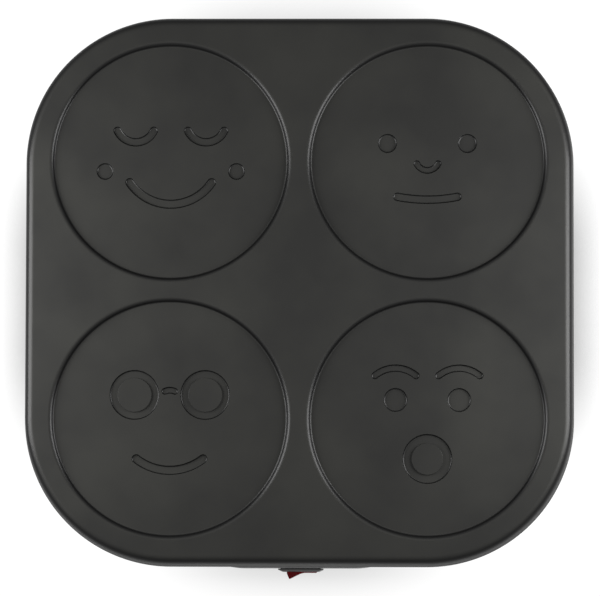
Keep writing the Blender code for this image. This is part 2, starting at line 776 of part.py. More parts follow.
def small_bosses():
    """Each small boss under the plate by its screw's name: x, y, the boss's end and the head's seat."""
    bosses = {}
    for name, (x, y, turn) in clip_places().items():
        reach = clip_reach(ELEMENT_RADIUS)
        place = (x + reach * math.cos(turn), y + reach * math.sin(turn))
        seat = CLIP_BOSS_BOTTOM - 2 * SEAT_GAP - CLIP_THICKNESS
        bosses[f"clip_screw_{name}"] = (*place, CLIP_BOSS_BOTTOM, seat)
    for name, side in (("left", -1), ("right", 1)):
        x = side * STRAP_HOLE_PITCH / 2
        bosses[f"strap_screw_{name}"] = (x, 0.0, CAP_BOTTOM, STRAP_BOTTOM - SEAT_GAP)
    y = -FUSE_FROM_MIDDLE - clip_reach(FUSE_RADIUS)
    bosses["fuse_clip_screw"] = (0.0, y, FUSE_Z, FUSE_Z - 2 * SEAT_GAP - CLIP_THICKNESS)
    bosses["earth_screw"] = (0.0, EARTH_FROM_MIDDLE, TAG_TOP + SEAT_GAP, TAG_BOTTOM - SEAT_GAP)
    return bosses


def main_boss_places():
    names = ("right", "back", "left", "front")
    return {
        name: (side_x * BOSS_REACH, side_y * BOSS_REACH) for name, (side_x, side_y) in zip(names, SIDES_OF_FOUR)
    }


def cooking_plate(finish):
    bm = bmesh.new()
    add_loft(bm, plate_rings())
    plate = piece("cooking_plate", bm, finish)

    below = bmesh.new()
    add_bed(below)
    add_rod(
        below,
        THERMOSTAT_PAD_RADIUS,
        (0, 0, PLATE_UNDER - THERMOSTAT_PAD_HEIGHT),
        (0, 0, PLATE_UNDER + WELD),
        THERMOSTAT_SIDES,
    )
    for x, y in main_boss_places().values():
        add_rod(below, BOSS_RADIUS, (x, y, BOSS_BOTTOM), (x, y, PLATE_UNDER + WELD), STANDOFF_SIDES)
    for x, y, bottom, _ in small_bosses().values():
        add_rod(below, SMALL_BOSS_RADIUS, (x, y, bottom), (x, y, PLATE_UNDER + WELD), PIN_SIDES)
    change(plate, below, "UNION")

    holes = bmesh.new()
    for x, y in main_boss_places().values():
        top = BOSS_BOTTOM + MAIN_HOLE_DEPTH
        add_rod(holes, MAIN_HOLE_RADIUS, (x, y, BOSS_BOTTOM - CUT_OVERRUN), (x, y, top), SCREW_SIDES)
    for x, y, bottom, _ in small_bosses().values():
        top = bottom + SMALL_HOLE_DEPTH
        add_rod(holes, SMALL_HOLE_RADIUS, (x, y, bottom - CUT_OVERRUN), (x, y, top), SCREW_SIDES)
    change(plate, holes, "DIFFERENCE")

    wells = bmesh.new()
    for x, y in at_quarters(CORNER_CENTRE).values():
        add_turned(wells, well_profile(), Matrix.Translation((x, y, 0)), WELL_SIDES)
    change(plate, wells, "DIFFERENCE")

    faces = bmesh.new()
    add_faces(faces)
    change(plate, faces, "DIFFERENCE")
    return plate


# What is hung under the plate


def heating_element(finish):
    """The sheathed tube, with the cold pin that stands out of each end."""
    bm = bmesh.new()
    add_sweep(bm, element_path(), ELEMENT_RADIUS, ELEMENT_SIDES)
    element = piece("heating_element", bm, finish, sharp=40)
    pins = bmesh.new()
    for side in (-1, 1):
        x = side * ELEMENT_END_X
        top = ELEMENT_TAIL_Z + ELEMENT_TAIL / 2
        add_rod(pins, PIN_RADIUS, (x, CORNER_CENTRE, PIN_BOTTOM), (x, CORNER_CENTRE, top), PIN_SIDES)
    change(element, pins, "UNION")


def element_bead(side, name, finish):
    """A ceramic bead round one cold pin, up against the tube's end."""
    bore = PIN_RADIUS + RUNNING_GAP
    profile = [
        (bore, BEAD_BOTTOM),
        (BEAD_RADIUS - BEAD_WAIST, BEAD_BOTTOM),
        (BEAD_RADIUS, BEAD_BOTTOM + BEAD_WAIST),
        (BEAD_RADIUS, BEAD_TOP),
        (bore, BEAD_TOP),
    ]
    bm = bmesh.new()
    place = Matrix.Translation((side * ELEMENT_END_X, CORNER_CENTRE, 0))
    add_turned(bm, profile, place, BEAD_SIDES)
    piece(f"element_bead_{name}", bm, finish)


def saddle_clip(name, tube_radius, tube_z, place, finish):
    """A strap hooked round a tube that runs along its own Y, with one foot, at +X, and a screw hole in it."""
    inner = tube_radius + SEAT_GAP
    outer = inner + CLIP_THICKNESS
    top = tube_z - SEAT_GAP
    bottom = top - CLIP_THICKNESS
    screw_x = clip_reach(tube_radius)
    tip = screw_x + CLIP_FOOT / 2
    angles = [math.pi * (1 + step / CLIP_ARC_STEPS) for step in range(1, CLIP_ARC_STEPS)]
    hook = [(inner * math.cos(angle), tube_z + inner * math.sin(angle)) for angle in angles]
    back = [(outer * math.cos(angle), tube_z + outer * math.sin(angle)) for angle in reversed(angles)]
    outline = [(-outer, top), (-inner, top), *hook, (inner, top), (tip, top), (tip, bottom)]
    outline += [(outer, bottom), *back]
    bm = bmesh.new()
    add_loft(bm, [[place @ Vector((x, side * CLIP_WIDTH / 2, z)) for x, z in outline] for side in (-1, 1)])
    clip = piece(name, bm, finish)
    hole = bmesh.new()
    low = place @ Vector((screw_x, 0, bottom - CUT_OVERRUN))
    high = place @ Vector((screw_x, 0, top + CUT_OVERRUN))
    add_rod(hole, SMALL_HOLE_RADIUS, low, high, SCREW_SIDES)
    change(clip, hole, "DIFFERENCE")


def element_clips(finish):
    for name, (x, y, turn) in clip_places().items():
        place = Matrix.Translation((x, y, 0)) @ Matrix.Rotation(turn, 4, "Z")
        saddle_clip(f"element_clip_{name}", ELEMENT_RADIUS, ELEMENT_Z, place, finish)


def fuse(sleeve_finish, clip_finish):
    y = -FUSE_FROM_MIDDLE
    bm = bmesh.new()
    add_rod(bm, FUSE_RADIUS, (-FUSE_LENGTH / 2, y, FUSE_Z), (FUSE_LENGTH / 2, y, FUSE_Z), FUSE_SIDES)
    piece("thermal_fuse", bm, sleeve_finish)
    place = Matrix.Translation((0, y, 0)) @ Matrix.Rotation(math.radians(-90), 4, "Z")
    saddle_clip("fuse_clip", FUSE_RADIUS, FUSE_Z, place, clip_finish)


def thermostat(cap_finish, strap_finish):
    """A snap-disc thermostat: metal cap up against the plate's pad, body and two blades below."""
    body_bottom = CAP_BOTTOM - THERMOSTAT_BODY_HEIGHT
    bm = bmesh.new()
    profile = [
        (0, body_bottom),
        (THERMOSTAT_BODY_RADIUS, body_bottom),
        (THERMOSTAT_BODY_RADIUS, CAP_BOTTOM),
        (THERMOSTAT_CAP_RADIUS, CAP_BOTTOM),
        (THERMOSTAT_CAP_RADIUS, CAP_TOP - BEAD_WAIST),
        (THERMOSTAT_CAP_RADIUS - BEAD_WAIST, CAP_TOP),
        (0, CAP_TOP),
    ]
    add_turned(bm, profile, Matrix(), THERMOSTAT_SIDES)
    can = piece("thermostat", bm, cap_finish)
    blades = bmesh.new()
    blade_z = body_bottom + BLADE_THICKNESS
    add_box(
        blades,
        (-THERMOSTAT_BLADE_REACH, -BLADE_WIDTH / 2, blade_z),
        (THERMOSTAT_BLADE_REACH, BLADE_WIDTH / 2, blade_z + BLADE_THICKNESS),
    )
    change(can, blades, "UNION")

    bm = bmesh.new()
    half = STRAP_HOLE_PITCH / 2 + SMALL_BOSS_RADIUS
    add_box(bm, (-half, -STRAP_WIDTH / 2, STRAP_BOTTOM), (half, STRAP_WIDTH / 2, STRAP_TOP))
    strap = piece("thermostat_strap", bm, strap_finish)
    holes = bmesh.new()
    low, high = STRAP_BOTTOM - CUT_OVERRUN, STRAP_TOP + CUT_OVERRUN
    add_rod(
        holes, THERMOSTAT_BODY_RADIUS + RUNNING_GAP, (0, 0, low), (0, 0, high), THERMOSTAT_SIDES
    )
    for side in (-1, 1):
        x = side * STRAP_HOLE_PITCH / 2
        add_rod(holes, SMALL_HOLE_RADIUS, (x, 0, low), (x, 0, high), SCREW_SIDES)
    change(strap, holes, "DIFFERENCE")


def earth_tag(finish):
    bm = bmesh.new()
    y = EARTH_FROM_MIDDLE
    add_rod(bm, TAG_RADIUS, (0, y, TAG_BOTTOM), (0, y, TAG_TOP), PIN_SIDES)
    tag = piece("earth_tag", bm, finish)
    tail = bmesh.new()
    add_box(
        tail,
        (-BLADE_WIDTH / 3, y + TAG_RADIUS / 2, TAG_BOTTOM),
        (BLADE_WIDTH / 3, y + TAG_TAIL, TAG_TOP),
    )
    change(tag, tail, "UNION")
    hole = bmesh.new()
    low, high = TAG_BOTTOM - CUT_OVERRUN, TAG_TOP + CUT_OVERRUN
    add_rod(hole, SMALL_HOLE_RADIUS, (0, y, low), (0, y, high), SCREW_SIDES)
    change(tag, hole, "DIFFERENCE")


def screw(name, radius, seat, tip, finish):
    bm = bmesh.new()
    add_screw(bm, radius, seat, tip)
    piece(name, bm, finish)


def small_screws(finish):
    """The small screws that hold the clips, the strap and the tag under the plate."""
    for name, (x, y, bottom, seat) in small_bosses().items():
        tip = bottom + SMALL_HOLE_DEPTH - SEAT_GAP
        screw(name, SMALL_SCREW_RADIUS, (x, y, seat), (x, y, tip), finish)


def heat_shield(finish):
    """A thin tray with its rim turned up, open round the thermostat and at the element's two ends."""
    bm = bmesh.new()
    lip = SHIELD_TOP + SHIELD_LIP
    inner = SHIELD_HALF - SHIELD_THICKNESS
    section = [(inner, SHIELD_TOP), (inner, lip), (SHIELD_HALF, lip), (SHIELD_HALF, SHIELD_BOTTOM)]
    add_loft(bm, [at_height(rounded_square(half, SHIELD_CORNER_STEPS), z) for half, z in section])
    shield = piece("heat_shield", bm, finish)
    holes = bmesh.new()
    low, high = SHIELD_BOTTOM - CUT_OVERRUN, SHIELD_TOP + CUT_OVERRUN
    add_rod(holes, SHIELD_OPENING_RADIUS, (0, 0, low), (0, 0, high), SHIELD_OPENING_SIDES)
    for side in (-1, 1):
        x = side * ELEMENT_END_X
        add_rod(holes, SHIELD_PORT_RADIUS, (x, CORNER_CENTRE, low), (x, CORNER_CENTRE, high), BEAD_SIDES)
    for x, y in main_boss_places().values():
        add_rod(holes, MAIN_HOLE_RADIUS, (x, y, low), (x, y, high), SCREW_SIDES)
    change(shield, holes, "DIFFERENCE")


def plate_screws(finish):
    """Long screws, up through the housing's lugs and the shield into the plate's main bosses."""
    seat = LUG_BOTTOM - SEAT_GAP
    tip = BOSS_BOTTOM + MAIN_HOLE_DEPTH - SEAT_GAP
    for name, (x, y) in main_boss_places().items():
        screw(f"plate_screw_{name}", MAIN_SCREW_RADIUS, (x, y, seat), (x, y, tip), finish)


# Base housing and bottom cover


def nose_front():
    """(x, share) along the front side: a flat middle with an even shoulder on each side."""
    front = []
    for step in range(NOSE_STEPS + 1):
        share = step / NOSE_STEPS
        x = NOSE_REACH - (NOSE_REACH - NOSE_FLAT) * share
        front.append((-x, 0.5 - 0.5 * math.cos(math.pi * share)))
    return front + [(-x, share) for x, share in reversed(front)]


def housing_section():
    """(half, z, bulge) round the shell: up its outside, over the upstand and down its inside."""
    section = []
    for step in range(TURN_IN_STEPS + 1):
        angle = math.radians(90) * step / TURN_IN_STEPS
        section.append(
            (
                BOTTOM_HALF + TURN_IN_WIDTH * math.sin(angle),
                TURN_IN_TOP - TURN_IN_HEIGHT * math.cos(angle),
                NOSE_BULGE * math.sin(angle),
            )
        )
    section += [
        (HOUSING_HALF, HOUSING_TOP - SHOULDER_ROUND, NOSE_BULGE),
        (HOUSING_HALF - SHOULDER_ROUND, HOUSING_TOP, NOSE_BULGE),
        (UPSTAND_HALF, HOUSING_TOP, 0),
        (UPSTAND_HALF, UPSTAND_TOP, 0),
        (UPSTAND_HALF - UPSTAND_WALL, UPSTAND_TOP, 0),
        (UPSTAND_HALF - UPSTAND_WALL, HOUSING_TOP - HAUNCH_DROP, 0),
        (HOUSING_INNER_HALF, HOUSING_TOP - HAUNCH_DROP - HAUNCH_HEIGHT, NOSE_BULGE),
    ]
    for step in range(TURN_IN_STEPS, -1, -1):
        angle = math.radians(90) * step / TURN_IN_STEPS
        section.append(
            (
                BOTTOM_HALF + (TURN_IN_WIDTH - HOUSING_WALL) * math.sin(angle),
                TURN_IN_TOP - (TURN_IN_HEIGHT - HOUSING_WALL) * math.cos(angle),
                NOSE_BULGE * math.sin(angle),
            )
        )
    section.append((OPENING_HALF, FOOT_CLEARANCE + HOUSING_WALL, 0))
    section.append((OPENING_HALF, FOOT_CLEARANCE, 0))
    return section


def pedestal_places():
    return {"left": (-PEDESTAL_PITCH / 2, CLAMP_Y), "right": (PEDESTAL_PITCH / 2, CLAMP_Y)}


def base_housing(finish):
    front = nose_front()
    bm = bmesh.new()
    rings = [
        at_height(rounded_square(half, HOUSING_CORNER_STEPS, front=front, bulge=bulge), z)
        for half, z, bulge in housing_section()
    ]
    add_loft(bm, rings, closed=True)
    housing = piece("base_housing", bm, finish)

    inside = bmesh.new()
    standoffs = bmesh.new()
    for side_x, side_y in SIDES_OF_FOUR:
        wall = HOUSING_INNER_HALF + HOUSING_WALL / 2
        if side_y < 0:
            wall += NOSE_BULGE
        turn = Matrix.Rotation(math.atan2(side_y, side_x), 4, "Z")
        low = (BOSS_REACH - LUG_INNER_REACH, -LUG_WIDTH / 2, LUG_BOTTOM)
        add_box(inside, low, (wall, LUG_WIDTH / 2, LUG_TOP), turn)
        x, y = side_x * BOSS_REACH, side_y * BOSS_REACH
        top = SHIELD_BOTTOM - SEAT_GAP
        add_rod(standoffs, STANDOFF_RADIUS, (x, y, LUG_TOP - WELD), (x, y, top), STANDOFF_SIDES)
    for x, y in at_quarters(PILLAR_AT).values():
        add_rod(inside, PILLAR_RADIUS, (x, y, PILLAR_BOTTOM), (x, y, PILLAR_TOP), PILLAR_SIDES)
    wall = HOUSING_INNER_HALF + HOUSING_WALL / 2
    add_box(
        inside, (-SHELF_WIDTH / 2, SHELF_FRONT, SHELF_BOTTOM), (SHELF_WIDTH / 2, wall, SHELF_TOP)
    )
    change(housing, inside, "UNION")
    change(housing, standoffs, "UNION")

    webs = bmesh.new()
    for side_x, side_y in QUARTERS:
        turn = Matrix.Translation((side_x * CORNER_CENTRE, side_y * CORNER_CENTRE, 0)) @ Matrix.Rotation(
            math.atan2(side_y, side_x), 4, "Z"
        )
        reach = HOUSING_INNER_HALF + HOUSING_WALL / 2 - CORNER_CENTRE
        low = (PILLAR_FROM_CORNER + PILLAR_RADIUS / 2, -WEB_THICKNESS / 2, WEB_BOTTOM)
        add_box(webs, low, (reach, WEB_THICKNESS / 2, PILLAR_TOP - WELD), turn)
    for x, y in pedestal_places().values():
        half = PEDESTAL_WIDTH / 2
        add_box(webs, (x - half, y - half, SHELF_TOP - WELD), (x + half, y + half, PEDESTAL_TOP))
    change(housing, webs, "UNION")

    holes = bmesh.new()
    for x, y in main_boss_places().values():
        low, high = LUG_BOTTOM - CUT_OVERRUN, SHIELD_TOP
        add_rod(holes, MAIN_HOLE_RADIUS, (x, y, low), (x, y, high), SCREW_SIDES)
    for x, y in at_quarters(PILLAR_AT).values():
        top = PILLAR_BOTTOM + COVER_SCREW_REACH
        add_rod(holes, COVER_HOLE_RADIUS, (x, y, PILLAR_BOTTOM - CUT_OVERRUN), (x, y, top), SCREW_SIDES)
    for x, y in pedestal_places().values():
        low = PEDESTAL_TOP - CLAMP_SCREW_LENGTH + CLAMP_HEIGHT
        radius = CLAMP_SCREW_RADIUS + RUNNING_GAP
        add_rod(holes, radius, (x, y, low), (x, y, PEDESTAL_TOP + CUT_OVERRUN), SCREW_SIDES)
    gland_hole = GLAND_RADIUS + SEAT_GAP
    low, high = HOUSING_INNER_HALF - CUT_OVERRUN, HOUSING_HALF + CUT_OVERRUN
    add_rod(holes, gland_hole, (0, low, CORD_Z), (0, high, CORD_Z), GLAND_SIDES)
    half_width = SWITCH_BOX_HALF_WIDTH + SEAT_GAP
    half_height = SWITCH_BOX_HALF_HEIGHT + SEAT_GAP
    add_box(
        holes,
        (SWITCH_X - half_width, NOSE_FACE_Y - CUT_OVERRUN, SWITCH_Z - half_height),
        (SWITCH_X + half_width, NOSE_FACE_Y + HOUSING_WALL + CUT_OVERRUN, SWITCH_Z + half_height),
    )
    change(housing, holes, "DIFFERENCE")
    return housing


def vent_outline():
    """A slot along Y with round ends, about the origin."""
    points = []
    run = VENT_LENGTH / 2 - VENT_WIDTH / 2
    for end in (1, -1):
        for step in range(VENT_END_STEPS + 1):
            angle = math.pi * step / VENT_END_STEPS + (0 if end > 0 else math.pi)
            points.append((VENT_WIDTH / 2 * math.cos(angle), end * run + VENT_WIDTH / 2 * math.sin(angle)))
    return points


def bottom_cover(finish):
    bm = bmesh.new()
    rib_outer = COVER_HALF - RIM_RIB_INSET
    rib_top = COVER_TOP + RIM_RIB_HEIGHT
    section = [
        (COVER_HALF, COVER_BOTTOM),
        (COVER_HALF, COVER_TOP),
        (rib_outer, COVER_TOP),
        (rib_outer, rib_top),
        (RIM_RIB_INNER_HALF, rib_top),
        (RIM_RIB_INNER_HALF, COVER_TOP),
    ]
    add_loft(bm, [at_height(rounded_square(half, COVER_CORNER_STEPS), z) for half, z in section])
    cover = piece("bottom_cover", bm, finish)
    holes = bmesh.new()
    low, high = COVER_BOTTOM - CUT_OVERRUN, COVER_TOP + CUT_OVERRUN
    for row in (-1, 1):
        for index in range(VENT_COUNT):
            x = (index - (VENT_COUNT - 1) / 2) * VENT_PITCH
            y = row * VENT_ROW_SHIFT
            slot = [(x + px, y + py) for px, py in vent_outline()]
            add_loft(holes, [at_height(slot, low), at_height(slot, high)])
    for x, y in at_quarters(PILLAR_AT).values():
        add_rod(holes, COVER_HOLE_RADIUS, (x, y, low), (x, y, high), SCREW_SIDES)
    for x, y in at_quarters(FOOT_AT).values():
        add_rod(holes, FOOT_HOLE_RADIUS, (x, y, low), (x, y, high), PIN_SIDES)
    change(cover, holes, "DIFFERENCE")


def cover_screws(finish):
    seat = COVER_BOTTOM - SEAT_GAP
    tip = PILLAR_BOTTOM + COVER_SCREW_REACH - SEAT_GAP
    for name, (x, y) in at_quarters(PILLAR_AT).items():
        screw(f"cover_screw_{name}", COVER_SCREW_RADIUS, (x, y, seat), (x, y, tip), finish)


def feet(finish):
    """Four rubber feet, each with a barbed stem pushed through the cover."""
    top = COVER_BOTTOM - SEAT_GAP
    barb = COVER_TOP + SEAT_GAP
    profile = [
        (0, 0),
        (FOOT_BOTTOM_RADIUS - FOOT_EDGE, 0),
        (FOOT_BOTTOM_RADIUS, FOOT_EDGE),
        (FOOT_TOP_RADIUS, top),
        (FOOT_STEM_RADIUS, top),
        (FOOT_STEM_RADIUS, barb),
        (FOOT_BARB_RADIUS, barb),
        (FOOT_STEM_RADIUS, barb + FOOT_BARB_HEIGHT),
        (0, barb + FOOT_BARB_HEIGHT),
    ]
    for name, (x, y) in at_quarters(FOOT_AT).items():
        bm = bmesh.new()
        add_turned(bm, profile, Matrix(), FOOT_SIDES)
        foot = piece(f"foot_{name}", bm, finish)
        foot.location = (x, y, 0)


# Cord inlet and terminal block


def cord_gland(finish):
    """A bush with a flange outside the rear wall and a barb inside it. Its axis runs along Y."""
    out = HOUSING_HALF + SEAT_GAP
    inside = HOUSING_INNER_HALF - SEAT_GAP
    profile = [
        (GLAND_BORE, inside - GLAND_BARB_LENGTH),
        (GLAND_RADIUS, inside - GLAND_BARB_LENGTH),
        (GLAND_BARB_RADIUS, inside),
        (GLAND_RADIUS, inside),
        (GLAND_RADIUS, out),
        (GLAND_FLANGE_RADIUS, out),
        (GLAND_FLANGE_RADIUS - GLAND_FLANGE / 2, out + GLAND_FLANGE),
        (GLAND_BORE, out + GLAND_FLANGE),
    ]
    # The profile's height runs along -Y after this turn, so it is turned to run along +Y
    place = Matrix.Translation((0, 0, CORD_Z)) @ Matrix.Rotation(math.radians(-90), 4, "X")
    bm = bmesh.new()
    add_turned(bm, profile, place, GLAND_SIDES)
    piece("cord_gland", bm, finish)


def cord_clamp(finish, screw_finish):
    """A bar across the cord's way, arched over it, held on two pedestals."""
    bottom = PEDESTAL_TOP + SEAT_GAP
    top = bottom + CLAMP_HEIGHT
    arch = GLAND_BORE
    outline = [(-CLAMP_LENGTH / 2, bottom)]
    for step in range(CLAMP_ARCH_STEPS + 1):
        angle = math.pi * (1 - step / CLAMP_ARCH_STEPS)
        outline.append((arch * math.cos(angle), bottom + arch * math.sin(angle) * CLAMP_ARCH_SHARE))
    outline += [(CLAMP_LENGTH / 2, bottom), (CLAMP_LENGTH / 2, top), (-CLAMP_LENGTH / 2, top)]
    rings = [
        [(x, CLAMP_Y + side * CLAMP_WIDTH / 2, z) for x, z in outline] for side in (-1, 1)
    ]
    bm = bmesh.new()
    add_loft(bm, rings)
    clamp = piece("cord_clamp", bm, finish)
    holes = bmesh.new()
    for name, (x, y) in pedestal_places().items():
        low, high = bottom - CUT_OVERRUN, top + CUT_OVERRUN
        add_rod(holes, CLAMP_SCREW_RADIUS + RUNNING_GAP, (x, y, low), (x, y, high), SCREW_SIDES)
        seat = top + SEAT_GAP
        tip = seat - CLAMP_SCREW_LENGTH
        screw(f"clamp_screw_{name}", CLAMP_SCREW_RADIUS, (x, y, seat), (x, y, tip), screw_finish)
    change(clamp, holes, "DIFFERENCE")


def block_poles():
    return {"live": -BLOCK_PITCH, "earth": 0.0, "neutral": BLOCK_PITCH}


def terminal_block(finish, screw_finish):
    """A three-pole block: a low base, a raised barrel for each pole, a port through each and a screw on top."""
    low_y, high_y = BLOCK_Y - BLOCK_DEPTH / 2, BLOCK_Y + BLOCK_DEPTH / 2
    half = BLOCK_PITCH + BLOCK_WIDTH / 2
    bm = bmesh.new()
    add_box(bm, (-half, low_y, BLOCK_BOTTOM), (half, high_y, BLOCK_BOTTOM + BLOCK_BASE_HEIGHT))
    block = piece("terminal_block", bm, finish)
    barrels = bmesh.new()
    inset = BLOCK_WIDTH / 2 - WELD / 2
    for x in block_poles().values():
        add_box(
            barrels,
            (x - inset, low_y + WELD / 2, BLOCK_BOTTOM + WELD),
            (x + inset, high_y - WELD / 2, BLOCK_BOTTOM + BLOCK_HEIGHT),
        )
    change(block, barrels, "UNION")
    ports = bmesh.new()
    holes = bmesh.new()
    top = BLOCK_BOTTOM + BLOCK_HEIGHT
    port_z = BLOCK_BOTTOM + BLOCK_PORT_Z
    for name, x in block_poles().items():
        start, end = (x, low_y - CUT_OVERRUN, port_z), (x, high_y + CUT_OVERRUN, port_z)
        add_rod(ports, BLOCK_PORT_RADIUS, start, end, PIN_SIDES)
        bottom, seat = (x, BLOCK_Y, port_z), (x, BLOCK_Y, top + SEAT_GAP)
        add_rod(holes, BLOCK_SCREW_RADIUS + RUNNING_GAP, bottom, (x, BLOCK_Y, top + CUT_OVERRUN), SCREW_SIDES)
        screw(f"block_screw_{name}", BLOCK_SCREW_RADIUS, seat, bottom, screw_finish)
    change(block, ports, "DIFFERENCE")
    change(block, holes, "DIFFERENCE")


# Rocker switch


def rounded_rectangle(half_width, half_height, y):
    """Rings of the switch body lie in planes across Y."""
    corner = SWITCH_CORNER
    points = []
    for quarter, (side_x, side_z) in enumerate(QUARTERS):
        for step in range(SWITCH_CORNER_STEPS + 1):
            angle = math.radians(90) * (quarter + step / SWITCH_CORNER_STEPS)
            points.append(
                (
                    SWITCH_X + side_x * (half_width - corner) + corner * math.cos(angle),
                    y,
                    SWITCH_Z + side_z * (half_height - corner) + corner * math.sin(angle),
                )
            )
    return points


def switch_body(finish):
    """A snap-in box with a sloped bezel, open at the front, closed at the back but for three blade slots."""
    seat = NOSE_FACE_Y - SEAT_GAP
    face = seat - BEZEL_THICKNESS
    floor = SWITCH_BACK_Y - SWITCH_BACK_WALL
    rings = [
        rounded_rectangle(SWITCH_BOX_HALF_WIDTH, SWITCH_BOX_HALF_HEIGHT, SWITCH_BACK_Y),
        rounded_rectangle(SWITCH_BOX_HALF_WIDTH, SWITCH_BOX_HALF_HEIGHT, seat),
        rounded_rectangle(BEZEL_HALF_WIDTH, BEZEL_HALF_HEIGHT, seat),
        rounded_rectangle(BEZEL_HALF_WIDTH, BEZEL_HALF_HEIGHT, seat - BEZEL_RIM),
        rounded_rectangle(BEZEL_HALF_WIDTH - BEZEL_SLOPE, BEZEL_HALF_HEIGHT - BEZEL_SLOPE / 2, face),
        rounded_rectangle(WINDOW_HALF_WIDTH, WINDOW_HALF_HEIGHT, face),
        rounded_rectangle(WINDOW_HALF_WIDTH, WINDOW_HALF_HEIGHT, floor),
    ]
    bm = bmesh.new()
    add_loft(bm, rings)
    body = piece("switch_body", bm, finish)

    ears = bmesh.new()
    behind = NOSE_FACE_Y + HOUSING_WALL + SEAT_GAP
    for side in (-1, 1):
        wall = SWITCH_Z + side * (SWITCH_BOX_HALF_HEIGHT - SEAT_GAP)
        tip = SWITCH_Z + side * (SWITCH_BOX_HALF_HEIGHT + SNAP_EAR_HEIGHT)
        section = [(behind, wall), (behind, tip), (behind + SNAP_EAR_LENGTH, wall)]
        rings = [
            [(SWITCH_X + end * SNAP_EAR_WIDTH / 2, y, z) for y, z in section] for end in (-1, 1)
        ]
        add_loft(ears, rings)
    change(body, ears, "UNION")

    holes = bmesh.new()
    reach = SWITCH_BOX_HALF_HEIGHT + CUT_OVERRUN
    add_rod(
        holes,
        PIVOT_RADIUS + RUNNING_GAP,
        (SWITCH_X, PIVOT_Y, SWITCH_Z - reach),
        (SWITCH_X, PIVOT_Y, SWITCH_Z + reach),
        PIVOT_SIDES,
    )
    for x in terminal_places():
        half = BLADE_THICKNESS / 2 + RUNNING_GAP
        add_box(
            holes,
            (x - half, floor - CUT_OVERRUN, SWITCH_Z - BLADE_WIDTH / 2 - RUNNING_GAP),
            (x + half, SWITCH_BACK_Y + CUT_OVERRUN, SWITCH_Z + BLADE_WIDTH / 2 + RUNNING_GAP),
        )
    change(body, holes, "DIFFERENCE")


def terminal_places():
    return [SWITCH_X + index * TERMINAL_PITCH for index in (-1, 0, 1)]


def rocker_outline():
    """The rocker's side, seen along its pivot: (x, y) with outwards as -y, from the pivot."""
    rise = ROCKER_VALLEY + ROCKER_HALF_WIDTH * math.tan(ROCKER_SLOPE)
    right = [
        (0, ROCKER_VALLEY),
        (ROCKER_HALF_WIDTH, rise),
        (ROCKER_WAIST, ROCKER_WAIST_OUT),
        (ROCKER_HALF_WIDTH, -ROCKER_SKIRT),
    ]
    left = [(-x, out) for x, out in reversed(right[1:])]
    return [(x, -out) for x, out in right + left]


def switch_rocker(finish, pivot):
    """The red rocker: a hollow cap with a shallow V face, pivot stubs at its sides and a stem underneath."""
    outline = rocker_outline()
    half = WINDOW_HALF_HEIGHT - RUNNING_GAP
    bm = bmesh.new()
    add_loft(bm, [[(x, y, side * half) for x, y in outline] for side in (-1, 1)])
    rocker = piece("switch_rocker", bm, finish)
    bevel = rocker.modifiers.new("edges", "BEVEL")
    bevel.width = ROCKER_EDGE
    bevel.segments = 2
    bevel.limit_method = "ANGLE"
    bevel.angle_limit = math.radians(35)
    bevel.use_clamp_overlap = True

    hollow = bmesh.new()
    rise = ROCKER_VALLEY + (ROCKER_HALF_WIDTH - ROCKER_WALL) * math.tan(ROCKER_SLOPE) - ROCKER_WALL
    inner = [
        (-ROCKER_HALF_WIDTH + ROCKER_WALL, ROCKER_SKIRT + CUT_OVERRUN),
        (ROCKER_HALF_WIDTH - ROCKER_WALL, ROCKER_SKIRT + CUT_OVERRUN),
        (ROCKER_HALF_WIDTH - ROCKER_WALL, -rise),
        (0, -(ROCKER_VALLEY - ROCKER_WALL)),
        (-ROCKER_HALF_WIDTH + ROCKER_WALL, -rise),
    ]
    depth = half - ROCKER_WALL
    add_loft(hollow, [[(x, y, side * depth) for x, y in inner] for side in (-1, 1)])
    change(rocker, hollow, "DIFFERENCE")

    stem = bmesh.new()
    add_rod(stem, STEM_RADIUS, (0, -(ROCKER_VALLEY - ROCKER_WALL / 2), 0), (0, STEM_END, 0), STEM_SIDES)
    reach = SWITCH_BOX_HALF_HEIGHT - SEAT_GAP
    for side in (-1, 1):
        start = (0, 0, side * (half - ROCKER_WALL / 2))
        add_rod(stem, PIVOT_RADIUS, start, (0, 0, side * reach), PIVOT_SIDES)
    change(rocker, stem, "UNION")
    bore = bmesh.new()
    add_rod(
        bore, STEM_BORE, (0, -(ROCKER_VALLEY - 2 * ROCKER_WALL), 0), (0, STEM_END + CUT_OVERRUN, 0), STEM_SIDES
    )
    change(rocker, bore, "DIFFERENCE")
    rocker.parent = pivot


def switch_plunger(finish, pivot):
    bm = bmesh.new()
    tip_width, tip_depth = PLUNGER_TIP_SHARES
    profile = [
        (0, PLUNGER_HEAD_AT - PLUNGER_HEAD),
        (PLUNGER_HEAD_RADIUS, PLUNGER_HEAD_AT - PLUNGER_HEAD),
        (PLUNGER_HEAD_RADIUS, PLUNGER_HEAD_AT),
        (PLUNGER_RADIUS, PLUNGER_HEAD_AT),
        (PLUNGER_RADIUS, PLUNGER_TIP - PLUNGER_RADIUS / 2),
        (PLUNGER_RADIUS * tip_width, PLUNGER_TIP - PLUNGER_RADIUS * tip_depth),
        (0, PLUNGER_TIP),
    ]
    add_turned(bm, profile, Matrix.Rotation(math.radians(-90), 4, "X"), PIN_SIDES)
    plunger = piece("switch_plunger", bm, finish)
    plunger.parent = pivot


